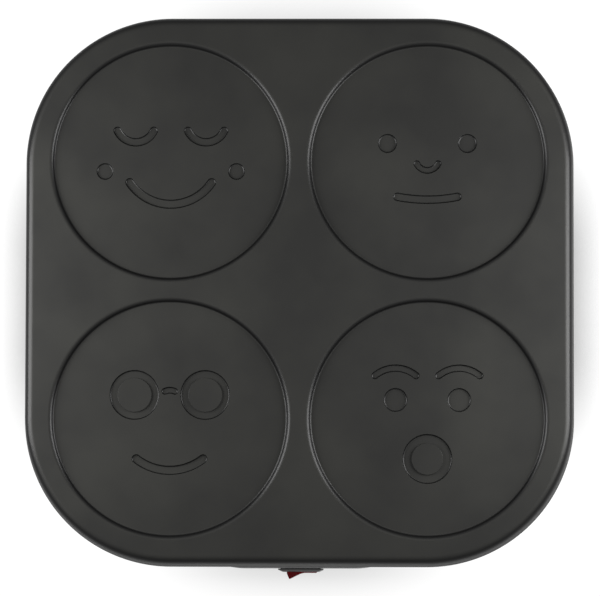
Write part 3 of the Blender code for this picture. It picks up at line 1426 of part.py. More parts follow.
def switch_spring(finish, pivot):
    """The coil spring in the stem, from its roof to the plunger's head."""
    low = -(ROCKER_VALLEY - 2 * ROCKER_WALL) + SPRING_WIRE + SEAT_GAP
    high = PLUNGER_HEAD_AT - PLUNGER_HEAD - SPRING_WIRE - SEAT_GAP
    count = SPRING_TURNS * SPRING_POINTS
    points = []
    for index in range(count + 1):
        angle = math.tau * index / SPRING_POINTS
        along_axis = low + (high - low) * index / count
        points.append((SPRING_RADIUS * math.cos(angle), along_axis, SPRING_RADIUS * math.sin(angle)))
    gap = (high - low) / SPRING_TURNS - 2 * SPRING_WIRE
    print(f"switch_spring: least gap between turns {gap * 1000:.2f} mm")
    spring = tube("switch_spring", points, SPRING_WIRE, finish, resolution=0)
    spring.parent = pivot


def switch_lamp(finish, pivot):
    """A small glow lamp under the rocker's raised half, against its end wall."""
    x = -(ROCKER_HALF_WIDTH - ROCKER_WALL - LAMP_RADIUS - SEAT_GAP)
    y = -(ROCKER_VALLEY - ROCKER_WALL - LAMP_RADIUS)
    bm = bmesh.new()
    end = LAMP_LENGTH / 2
    tip_width, tip_depth = LAMP_TIP_SHARES
    add_turned(
        bm,
        [
            (0, -end),
            (LAMP_RADIUS * tip_width, -end + LAMP_RADIUS * tip_depth),
            (LAMP_RADIUS, -end + LAMP_RADIUS),
            (LAMP_RADIUS, end - LAMP_RADIUS),
            (LAMP_RADIUS * tip_width, end - LAMP_RADIUS * tip_depth),
            (0, end),
        ],
        Matrix.Translation((x, y, 0)),
        LAMP_SIDES,
    )
    lamp = piece("switch_lamp", bm, finish)
    lamp.parent = pivot


def switch_contact(finish):
    """The see-saw: a strip with both arms bent out, rocking on the middle terminal."""
    half = CONTACT_THICKNESS / 2
    run = CONTACT_ARM * math.cos(CONTACT_BEND)
    rise = CONTACT_ARM * math.sin(CONTACT_BEND)
    front = [(run, -rise - half), (0, -half), (-run, -rise - half)]
    back = [(-run, -rise + half), (0, half), (run, -rise + half)]
    bm = bmesh.new()
    add_loft(
        bm, [[(x, y, side * CONTACT_HALF_HEIGHT) for x, y in front + back] for side in (-1, 1)]
    )
    contact = piece("switch_contact", bm, finish)
    contact.location = (SWITCH_X, CONTACT_Y, SWITCH_Z)
    contact.rotation_euler.z = -CONTACT_TILT


def switch_terminals(finish):
    """Three blades through the back wall: the load contact, the see-saw's seat and the lamp's feed."""
    low_end = CONTACT_ARM * math.sin(CONTACT_TILT - CONTACT_BEND) + CONTACT_THICKNESS / 2
    pad_y = CONTACT_Y + low_end + SEAT_GAP
    seat_y = CONTACT_Y + CONTACT_THICKNESS / 2 + SEAT_GAP
    floor = SWITCH_BACK_Y - SWITCH_BACK_WALL
    inner_ends = {"load": pad_y, "pivot": seat_y, "lamp": floor - TERMINAL_PAD}
    for x, (name, inner_y) in zip(terminal_places(), inner_ends.items()):
        bm = bmesh.new()
        half = BLADE_THICKNESS / 2
        low = (x - half, inner_y, SWITCH_Z - BLADE_WIDTH / 2)
        add_box(bm, low, (x + half, BLADE_END_Y, SWITCH_Z + BLADE_WIDTH / 2))
        piece(f"switch_{name}_terminal", bm, finish)


def rocker_switch(finishes):
    pivot = bpy.data.objects.new("rocker_pivot", None)
    bpy.context.scene.collection.objects.link(pivot)
    pivot.location = (SWITCH_X, PIVOT_Y, SWITCH_Z)
    pivot.rotation_euler.z = ROCKER_TILT
    switch_body(finishes["switch_plastic"])
    switch_rocker(finishes["red_lens"], pivot)
    switch_plunger(finishes["brass"], pivot)
    switch_spring(finishes["steel"], pivot)
    switch_lamp(finishes["lamp_glass"], pivot)
    switch_contact(finishes["brass"])
    switch_terminals(finishes["brass"])


# Leads


def leads(finishes):
    """Sleeved leads, each through hand-set points from one terminal to the next."""
    port_z = BLOCK_BOTTOM + BLOCK_PORT_Z
    block_front = BLOCK_Y - BLOCK_DEPTH / 2 - SEAT_GAP
    live_x, earth_x, neutral_x = block_poles().values()
    load_x, seat_x, lamp_x = terminal_places()
    blade = BLADE_END_Y + SEAT_GAP
    blade_z = CAP_BOTTOM - THERMOSTAT_BODY_HEIGHT + BLADE_THICKNESS * 1.5
    blade_x = THERMOSTAT_BLADE_REACH + SEAT_GAP
    fuse_x = FUSE_LENGTH / 2 + SEAT_GAP
    pin_z = PIN_BOTTOM - SEAT_GAP
    tag_end = EARTH_FROM_MIDDLE + TAG_TAIL + SEAT_GAP
    tag_z = (TAG_TOP + TAG_BOTTOM) / 2
    low_z = SHELF_TOP + 2 * LEAD_RADIUS
    mid_z = (SHELF_TOP + LUG_BOTTOM) / 2
    span = CORNER_CENTRE
    side = 8 * LEAD_RADIUS
    routes = {
        "live_lead": (
            "black_sleeve",
            [
                (live_x, block_front, port_z),
                (live_x, block_front - side, port_z),
                (live_x - side, span * 0.6, low_z),
                (live_x - 2 * side, -span * 0.2, low_z),
                (load_x - side, -span * 1.25, mid_z - side),
                (load_x, blade + side * 1.2, SWITCH_Z),
                (load_x, blade, SWITCH_Z),
            ],
        ),
        "switched_lead": (
            "white_sleeve",
            [
                (seat_x, blade, SWITCH_Z),
                (seat_x, blade + side, SWITCH_Z),
                (-side, -span * 0.9, mid_z),
                (-blade_x - 2 * side, -span * 0.35, mid_z + side / 2),
                (-blade_x - side * 0.9, 0, blade_z - side / 3),
                (-blade_x, 0, blade_z),
            ],
        ),
        "thermostat_lead": (
            "white_sleeve",
            [
                (blade_x, 0, blade_z),
                (blade_x + side * 0.4, 0, blade_z),
                (blade_x + side, -side * 0.6, blade_z),
                (fuse_x + side * 1.1, -FUSE_FROM_MIDDLE + side, FUSE_Z - side / 2),
                (fuse_x + side * 0.5, -FUSE_FROM_MIDDLE, FUSE_Z),
                (fuse_x, -FUSE_FROM_MIDDLE, FUSE_Z),
            ],
        ),
        "fuse_lead": (
            "white_sleeve",
            [
                (-fuse_x, -FUSE_FROM_MIDDLE, FUSE_Z),
                (-fuse_x - side * 0.5, -FUSE_FROM_MIDDLE, FUSE_Z),
                (-fuse_x - side * 1.9, -side * 1.6, FUSE_Z - side * 1.2),
                (-fuse_x - side * 2.1, span * 0.15, blade_z - side / 2),
                (-ELEMENT_END_X - side, span * 0.75, mid_z),
                (-ELEMENT_END_X, span, pin_z - side * 0.8),
                (-ELEMENT_END_X, span, pin_z),
            ],
        ),
        "neutral_lead": (
            "white_sleeve",
            [
                (neutral_x - LEAD_RADIUS * 1.2, block_front, port_z),
                (neutral_x - LEAD_RADIUS * 1.2, block_front - side * 0.7, port_z),
                (ELEMENT_END_X, span, pin_z - side * 0.8),
                (ELEMENT_END_X, span, pin_z),
            ],
        ),
        "lamp_lead": (
            "black_sleeve",
            [
                (neutral_x + LEAD_RADIUS * 1.4, block_front, port_z),
                (neutral_x + LEAD_RADIUS * 2, block_front - side, port_z),
                (neutral_x + side * 2, span * 0.4, low_z),
                (lamp_x + side * 2, -span * 0.6, low_z),
                (lamp_x + side * 0.6, -span * 1.4, mid_z - side),
                (lamp_x, blade + side, SWITCH_Z),
                (lamp_x, blade, SWITCH_Z),
            ],
        ),
        "earth_lead": (
            "earth_sleeve",
            [
                (earth_x, block_front, port_z),
                (earth_x, block_front - side, port_z + side / 3),
                (earth_x, span, mid_z),
                (earth_x, tag_end + side, SHIELD_BOTTOM - side),
                (earth_x, tag_end + side * 0.35, SHIELD_TOP),
                (earth_x, tag_end + side * 0.2, tag_z - side * 0.1),
                (earth_x, tag_end, tag_z),
            ],
        ),
    }
    for name, (finish, points) in routes.items():
        tube(name, along(points, LEAD_STEP), LEAD_RADIUS, finishes[finish], resolution=1)


def clear_scene():
    for obj in list(bpy.data.objects):
        bpy.data.objects.remove(obj)


def main():
    clear_scene()
    finishes = {
        "coated_plate": material("coated_plate", (0.028, 0.028, 0.027), 0.45),
        "black_plastic": material("black_plastic", (0.02, 0.02, 0.021), 0.5),
        "cover_plastic": material("cover_plastic", (0.022, 0.022, 0.022), 0.6),
        "switch_plastic": material("switch_plastic", (0.015, 0.015, 0.015), 0.35),
        "red_lens": material("red_lens", (0.42, 0.012, 0.012), 0.2),
        "lamp_glass": material("lamp_glass", (0.8, 0.45, 0.3), 0.1),
        "rubber": material("rubber", (0.03, 0.03, 0.03), 0.85),
        "steel": material("steel", (0.5, 0.5, 0.5), 0.35, 1.0),
        "sheet_steel": material("sheet_steel", (0.55, 0.56, 0.57), 0.4, 1.0),
        "element_sheath": material("element_sheath", (0.2, 0.19, 0.18), 0.55, 1.0),
        "ceramic": material("ceramic", (0.8, 0.77, 0.7), 0.5),
        "brass": material("brass", (0.6, 0.45, 0.2), 0.35, 1.0),
        "aluminium": material("aluminium", (0.7, 0.7, 0.71), 0.4, 1.0),
        "nylon": material("nylon", (0.75, 0.74, 0.7), 0.5),
        "white_sleeve": material("white_sleeve", (0.72, 0.7, 0.64), 0.8),
        "black_sleeve": material("black_sleeve", (0.03, 0.03, 0.03), 0.7),
        "earth_sleeve": material("earth_sleeve", (0.35, 0.45, 0.05), 0.7),
    }
    cooking_plate(finishes["coated_plate"])
    heating_element(finishes["element_sheath"])
    element_bead(-1, "left", finishes["ceramic"])
    element_bead(1, "right", finishes["ceramic"])
    element_clips(finishes["sheet_steel"])
    fuse(finishes["white_sleeve"], finishes["sheet_steel"])
    thermostat(finishes["aluminium"], finishes["sheet_steel"])
    earth_tag(finishes["brass"])
    small_screws(finishes["steel"])
    heat_shield(finishes["sheet_steel"])
    plate_screws(finishes["steel"])
    base_housing(finishes["black_plastic"])
    bottom_cover(finishes["cover_plastic"])
    cover_screws(finishes["steel"])
    feet(finishes["rubber"])
    cord_gland(finishes["rubber"])
    cord_clamp(finishes["nylon"], finishes["steel"])
    terminal_block(finishes["nylon"], finishes["steel"])
    rocker_switch(finishes)
    leads(finishes)


main()
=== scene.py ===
import json
import math

import bmesh
import bpy
from mathutils import Matrix, Vector


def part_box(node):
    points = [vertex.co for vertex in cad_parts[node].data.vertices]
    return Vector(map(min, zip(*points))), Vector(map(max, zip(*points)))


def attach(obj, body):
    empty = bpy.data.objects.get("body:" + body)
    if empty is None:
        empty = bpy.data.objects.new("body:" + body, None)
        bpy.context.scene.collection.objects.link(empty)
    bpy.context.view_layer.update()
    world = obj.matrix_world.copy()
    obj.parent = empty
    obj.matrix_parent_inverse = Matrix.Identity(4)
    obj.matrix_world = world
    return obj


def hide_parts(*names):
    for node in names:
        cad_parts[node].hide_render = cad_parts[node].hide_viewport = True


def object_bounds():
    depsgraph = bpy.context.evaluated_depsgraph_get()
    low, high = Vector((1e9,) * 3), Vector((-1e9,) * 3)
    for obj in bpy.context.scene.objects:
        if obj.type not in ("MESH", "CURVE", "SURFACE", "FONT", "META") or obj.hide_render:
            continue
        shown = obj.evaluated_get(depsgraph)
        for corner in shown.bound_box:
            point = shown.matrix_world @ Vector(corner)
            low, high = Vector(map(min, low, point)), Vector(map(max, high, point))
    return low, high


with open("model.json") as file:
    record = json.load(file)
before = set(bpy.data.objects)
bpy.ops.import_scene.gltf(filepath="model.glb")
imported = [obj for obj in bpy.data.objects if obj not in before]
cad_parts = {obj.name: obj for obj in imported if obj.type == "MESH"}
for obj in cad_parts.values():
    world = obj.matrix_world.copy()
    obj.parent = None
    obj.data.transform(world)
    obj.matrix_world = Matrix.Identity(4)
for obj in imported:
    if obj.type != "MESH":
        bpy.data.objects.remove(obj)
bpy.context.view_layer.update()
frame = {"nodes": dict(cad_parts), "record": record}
mm = 0.001

# The picture's camera: nearly overhead, a little in front of the plate and a little to its right.
# Metres and degrees, but millimetres for the lens and its sensor
camera = {
    "distance": 2.1,
    "tiltBack": 4.0,
    "tiltSide": 1.23,
    "roll": 0.046,
    "lens": 274.87,
    "sensor": 36,
    "shiftX": 0.00226,
    "shiftY": -0.01364,
    "clipEnd": 20,
}


def setCamera():
    data = bpy.data.cameras.new("overheadCamera")
    data.lens = camera["lens"]
    data.sensor_width = camera["sensor"]
    data.sensor_fit = "HORIZONTAL"
    data.shift_x = camera["shiftX"]
    data.shift_y = camera["shiftY"]
    data.clip_end = camera["clipEnd"]
    eye = bpy.data.objects.new("overheadCamera", data)
    bpy.context.collection.objects.link(eye)
    turn = (
        Matrix.Rotation(math.radians(-camera["roll"]), 3, "Z")
        @ Matrix.Rotation(math.radians(-camera["tiltSide"]), 3, "Y")
        @ Matrix.Rotation(math.radians(-camera["tiltBack"]), 3, "X")
    ).transposed()
    top = Vector((0, 0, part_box("cooking_plate")[1].z))
    place = top + turn @ Vector((0, 0, camera["distance"]))
    eye.matrix_world = Matrix.Translation(place) @ turn.to_4x4()
    bpy.context.scene.camera = eye


setCamera()
print("camera placed")

# Small tools
mergeDistance = 0.001 * mm  # vertices closer than this are one
placeSlack = 0.02 * mm  # places closer than this are the same
flatBend = 0.02  # radians: faces that bend less than this are one flat face
facesAxis = 0.9  # least share along an axis of what is said to run or look that way
noiseSpan = (0.3, 0.7)  # nearly all of a noise lies in here
toneSpan = (0.35, 0.65)  # and its tones change in here
overrun = 1 * mm  # how far a cutting tool runs past what it cuts


# The single lengths among some sizes, in metres
def inMetres(sizes):
    return {name: value * mm for name, value in sizes.items() if isinstance(value, float)}


# sRGB hex to linear
def colour(hexText):
    parts = [int(hexText[start : start + 2], 16) / 255 for start in (1, 3, 5)]
    return tuple(p / 12.92 if p <= 0.04045 else ((p + 0.055) / 1.055) ** 2.4 for p in parts) + (1.0,)


# Adds a node, sets its settings and sockets, and links {socket: (node, output)} into it
def addNode(tree, kind, inputs=None, links=None, **settings):
    node = tree.nodes.new("ShaderNode" + kind)
    for name, value in settings.items():
        setattr(node, name, value)
    for name, value in (inputs or {}).items():
        node.inputs[name].default_value = value
    for name, (source, output) in (links or {}).items():
        tree.links.new(source.outputs[output], node.inputs[name])
    return node


# An empty node tree for a material or world, and its output
def newTree(owner, outputKind):
    owner.use_nodes = True
    tree = owner.node_tree
    tree.nodes.clear()
    return tree, addNode(tree, outputKind)


def pickNone():
    if bpy.context.object and bpy.context.object.mode != "OBJECT":
        bpy.ops.object.mode_set(mode="OBJECT")
    bpy.ops.object.select_all(action="DESELECT")


def pickOnly(*objs):
    pickNone()
    for obj in objs:
        obj.select_set(True)
    bpy.context.view_layer.objects.active = objs[0]


# Selects everything in the mesh that is open in edit mode
def pickAll():
    bpy.ops.mesh.select_all(action="SELECT")


# Puts the place, turn and size of what is picked into its mesh
def applyPlace():
    bpy.ops.object.transform_apply(location=True, rotation=True, scale=True)


# A new object in the scene for a mesh or a lamp
def addObject(name, data):
    obj = bpy.data.objects.new(name, data)
    bpy.context.collection.objects.link(obj)
    return obj


def addBox(name, low, high):
    pickNone()
    bpy.ops.mesh.primitive_cube_add(size=1)
    box = bpy.context.object
    box.name = name
    box.location = (Vector(low) + Vector(high)) / 2
    box.scale = Vector(high) - Vector(low)
    applyPlace()
    return box


def bevelPicked(offset, steps):
    bpy.ops.mesh.bevel(offset=offset, segments=steps, affect="EDGES")


# Rounds the edges of a block that run along one axis: 0, 1 or 2. The block stays open in edit mode
def roundAlong(obj, axis, offset, steps):
    edit(obj)
    mesh = bmesh.from_edit_mesh(obj.data)
    for edge in mesh.edges:
        run = edge.verts[1].co - edge.verts[0].co
        edge.select = abs(run[axis]) > facesAxis * run.length
    mesh.select_flush_mode()
    bevelPicked(offset, steps)


# A square block, its corner arcs round the wells' centres. It stays open in edit mode
def addRoundBlock(name, half, low, high, steps):
    block = addBox(name, (-half, -half, low), (half, half, high))
    roundAlong(block, 2, half - plateSizes["wellFromMiddle"] * mm, steps)
    return block


# A round block from low to high along its axis, through place in the other two directions
def addDrum(name, radius, low, high, place, steps, axis="Z", topRadius=None):
    pickNone()
    bpy.ops.mesh.primitive_cone_add(
        vertices=steps,
        radius1=radius,
        radius2=topRadius or radius,
        depth=high - low,
        end_fill_type="NGON",
    )
    drum = bpy.context.object
    drum.name = name
    if axis == "Y":
        drum.rotation_euler = (math.radians(90), 0, 0)
        drum.location = (place[0], (low + high) / 2, place[1])
    else:
        drum.location = (place[0], place[1], (low + high) / 2)
    applyPlace()
    return drum


def edit(obj, mode="EDGE"):
    pickOnly(obj)
    bpy.ops.object.mode_set(mode="EDIT")
    bpy.ops.mesh.select_mode(type=mode)
    bpy.ops.mesh.select_all(action="DESELECT")


def leave():
    bpy.ops.object.mode_set(mode="OBJECT")


# Selects the edges whose two ends pass the test, leaving out those inside a flat face
def chooseEdges(obj, test):
    bpy.ops.mesh.select_mode(type="EDGE")
    bpy.ops.mesh.select_all(action="DESELECT")
    mesh = bmesh.from_edit_mesh(obj.data)
    for edge in mesh.edges:
        bent = len(edge.link_faces) != 2 or edge.calc_face_angle(0) > flatBend
        edge.select = bent and test(edge.verts[0].co) and test(edge.verts[1].co)
    mesh.select_flush_mode()
    bmesh.update_edit_mesh(obj.data)


# Selects the faces whose middle and normal pass the test
def chooseFaces(obj, test):
    bpy.ops.mesh.select_mode(type="FACE")
    bpy.ops.mesh.select_all(action="DESELECT")
    mesh = bmesh.from_edit_mesh(obj.data)
    for face in mesh.faces:
        face.select = test(face.calc_center_median(), face.normal)
    mesh.select_flush_mode()
    bmesh.update_edit_mesh(obj.data)


# Selects the faces that look along an axis: 0, 1 or 2, and side 1 or -1
def chooseFacing(obj, axis, side):
    chooseFaces(obj, lambda middle, normal: side * normal[axis] > facesAxis)


def near(value, target):
    return abs(value - target) < placeSlack


# Rounds the edges whose two ends pass the test
def roundEdges(obj, test, offset, steps):
    chooseEdges(obj, test)
    bevelPicked(offset, steps)


def push(move):
    bpy.ops.mesh.extrude_region_move(TRANSFORM_OT_translate={"value": move})


def turnOutward():
    pickAll()
    bpy.ops.mesh.normals_make_consistent(inside=False)


# A block from a flat outline of x and y, pushed up or down from z. It stays open in edit mode
def addPrism(name, outline, z, height):
    mesh = bpy.data.meshes.new(name)
    mesh.from_pydata([(point[0], point[1], z) for point in outline], [], [range(len(outline))])
    prism = addObject(name, mesh)
    edit(prism, "FACE")
    pickAll()
    push((0, 0, height))
    return prism


# Cuts obj with the tool, or applies another Boolean operation, and removes the tool
def combine(obj, tool, operation="DIFFERENCE"):
    pickOnly(obj)
    boolean = obj.modifiers.new("boolean", "BOOLEAN")
    boolean.operation = operation
    boolean.solver = "EXACT"
    boolean.object = tool
    bpy.ops.object.modifier_apply(modifier=boolean.name)
    bpy.data.objects.remove(tool)


# A CAD node's mesh as an object of its own, its loose triangles merged
def copyNode(name):
    node = frame["nodes"][name]
    copied = addObject("copy", node.data.copy())
    copied.data.materials.clear()
    copied.matrix_world = node.matrix_world
    edit(copied)
    pickAll()
    bpy.ops.mesh.remove_doubles(threshold=mergeDistance)
    bpy.ops.mesh.customdata_custom_splitnormals_clear()
    leave()
    applyPlace()
    return copied


# A copy with its own mesh, moved by place
def placeCopy(obj, place):
    copied = addObject(obj.name, obj.data.copy())
    pickOnly(copied)
    copied.location = place
    applyPlace()
    return copied


# Spins a half section of radii and heights, in millimetres, round an axis through the origin
def turnSection(name, section, steps, axis="Z", closed=False):
    if axis == "Z":
        points = [(radius * mm, 0, height * mm) for radius, height in section]
    else:
        points = [(radius * mm, height * mm, 0) for radius, height in section]
    pairs = [(index, index + 1) for index in range(len(points) - 1)]
    if closed:
        pairs.append((len(points) - 1, 0))
    mesh = bpy.data.meshes.new(name)
    mesh.from_pydata(points, pairs, [])
    turned = addObject(name, mesh)
    edit(turned, "VERT")
    pickAll()
    way = (0, 0, 1) if axis == "Z" else (0, 1, 0)
    bpy.ops.mesh.spin(steps=steps, angle=math.tau, center=(0, 0, 0), axis=way)
    pickAll()
    bpy.ops.mesh.remove_doubles(threshold=mergeDistance)
    turnOutward()
    leave()
    return turned


def join(*objs):
    pickOnly(*objs)
    bpy.ops.object.join()
    return bpy.context.object


# Smooth shading by angle, the slot's finish, and what the frame needs to know
def finishPiece(obj, body, slot, node, angle=35, weighted=True):
    pickOnly(obj)
    obj.data.materials.clear()
    obj.data.materials.append(finishes[slot])
    bpy.ops.object.shade_smooth_by_angle(angle=math.radians(angle))
    if weighted:
        normals = obj.modifiers.new("flat faces first", "WEIGHTED_NORMAL")
        normals.keep_sharp = True
        bpy.ops.object.modifier_apply(modifier=normals.name)
    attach(obj, body)
    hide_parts(node)


# Finishes


def newMaterial(name, settings=None):
    material = bpy.data.materials.new(name)
    tree, output = newTree(material, "OutputMaterial")
    shader = addNode(tree, "BsdfPrincipled", settings)
    tree.links.new(shader.outputs["BSDF"], output.inputs["Surface"])
    place = addNode(tree, "TexCoord")
    return material, tree, shader, place


# Bump of soft grains: size and depth in millimetres
def grain(tree, place, shader, size, depth, detail, strength):
    noise = addNode(
        tree,
        "TexNoise",
        {"Scale": 1 / (size * mm), "Detail": detail, "Roughness": 0.6},
        {"Vector": (place, "Object")},
    )
    bump = addNode(tree, "Bump", {"Strength": strength, "Distance": depth * mm}, {"Height": (noise, "Fac")})
    tree.links.new(bump.outputs["Normal"], shader.inputs["Normal"])
    return noise


# The colour goes from dark to light with a noise
def twoTones(tree, noise, shader, dark, light):
    ramp = addNode(tree, "ValToRGB", links={"Fac": (noise, "Fac")})
    for stop, place, tone in zip(ramp.color_ramp.elements, toneSpan, (dark, light)):
        stop.position = place
        stop.color = colour(tone)
    tree.links.new(ramp.outputs["Color"], shader.inputs["Base Color"])
    return ramp


# The roughness goes from low to high with a noise
def roughBetween(tree, noise, shader, low, high):
    spread = addNode(
        tree,
        "MapRange",
        {"From Min": noiseSpan[0], "From Max": noiseSpan[1], "To Min": low, "To Max": high},
        {"Value": (noise, "Fac")},
    )
    tree.links.new(spread.outputs["Result"], shader.inputs["Roughness"])


# PTFE coat sprayed on cast aluminium: satin charcoal with a fine orange-peel grain, a little greyer in
# patches about 45 mm across. The rest of its colour is painted shade, set by how far the surface faces up:
# slopes and creases are painted near black, deepening the dark lines their shading draws round the wells
# and grooves, and the upright skirt is painted a dark grey. The skirt is also dry and dull. How far the
# surface faces up tells them apart: a flat top 1, an upright skirt 0
coat = {
    "topTones": ("#232322", "#2a2a28"),
    "topRoughness": (0.34, 0.40),
    "patchScale": 22,
    "slopeShadeTone": "#0b0b0b",
    # painted shade: the colour of slopes and creases, near black
    "slopeRoughness": 0.29,
    "slopeToTop": (0.80, 0.97),
    # painted shade: the colour of the upright skirt, a dark grey
    "skirtShadeTone": "#1a1a19",
    "slopeToSkirt": (0.18, 0.1),
    "dryRoughness": 0.6,
    "slopeToDry": (0.5, 0.2),
}


def nonStickCoat():
    material, tree, shader, place = newMaterial("nonStickCoat", {"IOR": 1.35, "Specular IOR Level": 0.25})
    grain(tree, place, shader, 0.55, 0.05, detail=3.0, strength=0.45)
    clouds = addNode(
        tree, "TexNoise", {"Scale": coat["patchScale"], "Detail": 4}, {"Vector": (place, "Object")}
    )
    ramp = twoTones(tree, clouds, shader, *coat["topTones"])
    surface = addNode(tree, "NewGeometry")
    upward = addNode(tree, "SeparateXYZ", links={"Vector": (surface, "Normal")})
    top, skirt, dry = (
        addNode(tree, "MapRange", {"From Min": start, "From Max": end}, {"Value": (upward, "Z")})
        for start, end in (coat["slopeToTop"], coat["slopeToSkirt"], coat["slopeToDry"])
    )
    # Painted shade: slopes and creases take the near-black colour, upright faces the dark grey
    slopeShaded = addNode(
        tree,
        "Mix",
        {"A": colour(coat["slopeShadeTone"])},
        {"Factor": (top, "Result"), "B": (ramp, "Color")},
        data_type="RGBA",
    )
    tone = addNode(
        tree,
        "Mix",
        {"B": colour(coat["skirtShadeTone"])},
        {"Factor": (skirt, "Result"), "A": (slopeShaded, "Result")},
        data_type="RGBA",
    )
    tree.links.new(tone.outputs["Result"], shader.inputs["Base Color"])
    matt = addNode(
        tree,
        "MapRange",
        {
            "From Min": noiseSpan[0],
            "From Max": noiseSpan[1],
            "To Min": coat["topRoughness"][0],
            "To Max": coat["topRoughness"][1],
        },
        {"Value": (clouds, "Fac")},
    )
    gloss = addNode(
        tree,
        "Mix",
        {"A": coat["slopeRoughness"]},
        {"Factor": (top, "Result"), "B": (matt, "Result")},
        data_type="FLOAT",
    )
    roughness = addNode(
        tree,
        "Mix",
        {"B": coat["dryRoughness"]},
        {"Factor": (dry, "Result"), "A": (gloss, "Result")},
        data_type="FLOAT",
    )
    tree.links.new(roughness.outputs["Result"], shader.inputs["Roughness"])
    return material


# A finish with soft grains, sizes in millimetres. Its tones and roughness change with the grains, or
# with patches of their own, given as a noise's scale and detail
def soft(name, tones, rough, size, depth, detail=3.0, strength=0.6, patches=None, settings=None):
    material, tree, shader, place = newMaterial(name, settings)
    noise = grain(tree, place, shader, size, depth, detail, strength)
    if patches:
        scale, detail = patches
        noise = addNode(tree, "TexNoise", {"Scale": scale, "Detail": detail}, {"Vector": (place, "Object")})
    twoTones(tree, noise, shader, *tones)
    roughBetween(tree, noise, shader, *rough)
    return material


# A metal with drawn or rolled grain, sizes in millimetres: stretch lengthens it along an axis
def metal(name, tones, rough, size, depth, stretch=(1, 1, 1)):
    material, tree, shader, place = newMaterial(name, {"Metallic": 1.0})
    mapping = addNode(tree, "Mapping", {"Scale": stretch}, {"Vector": (place, "Object")})
    noise = addNode(
        tree,
        "TexNoise",
        {"Scale": 1 / (size * mm), "Detail": 4, "Roughness": 0.6},
        {"Vector": (mapping, "Vector")},
    )
    bump = addNode(tree, "Bump", {"Strength": 0.5, "Distance": depth * mm}, {"Height": (noise, "Fac")})
    tree.links.new(bump.outputs["Normal"], shader.inputs["Normal"])
    twoTones(tree, noise, shader, *tones)
    roughBetween(tree, noise, shader, *rough)
    return material


# Glass-fibre sleeve over a lead: crossed strands, drawn as two crossed sets of waves. The scale puts
# the strands about 0.6 mm apart
strands = {"scale": 520, "distortion": 0.6, "depth": 0.15 * mm}


def braidedSleeve(name, dark, light):
    material, tree, shader, place = newMaterial(name, {"Roughness": 0.75})
    waves = []
    for turn in (45, -45):
        mapping = addNode(
            tree, "Mapping", {"Rotation": (math.radians(turn),) * 3}, {"Vector": (place, "Object")}
        )
        wave = addNode(
            tree,
            "TexWave",
            {"Scale": strands["scale"], "Distortion": strands["distortion"], "Detail": 1},
            {"Vector": (mapping, "Vector")},
        )
        waves.append(wave)
    mix = addNode(tree, "Math", links={0: (waves[0], "Fac"), 1: (waves[1], "Fac")}, operation="MAXIMUM")
    settings = {"Strength": 0.7, "Distance": strands["depth"]}
    bump = addNode(tree, "Bump", settings, {"Height": (mix, "Value")})
    tree.links.new(bump.outputs["Normal"], shader.inputs["Normal"])
    ramp = addNode(tree, "ValToRGB", links={"Fac": (mix, "Value")})
    ramp.color_ramp.elements[0].color = colour(dark)
    ramp.color_ramp.elements[1].color = colour(light)
    tree.links.new(ramp.outputs["Color"], shader.inputs["Base Color"])
    return material


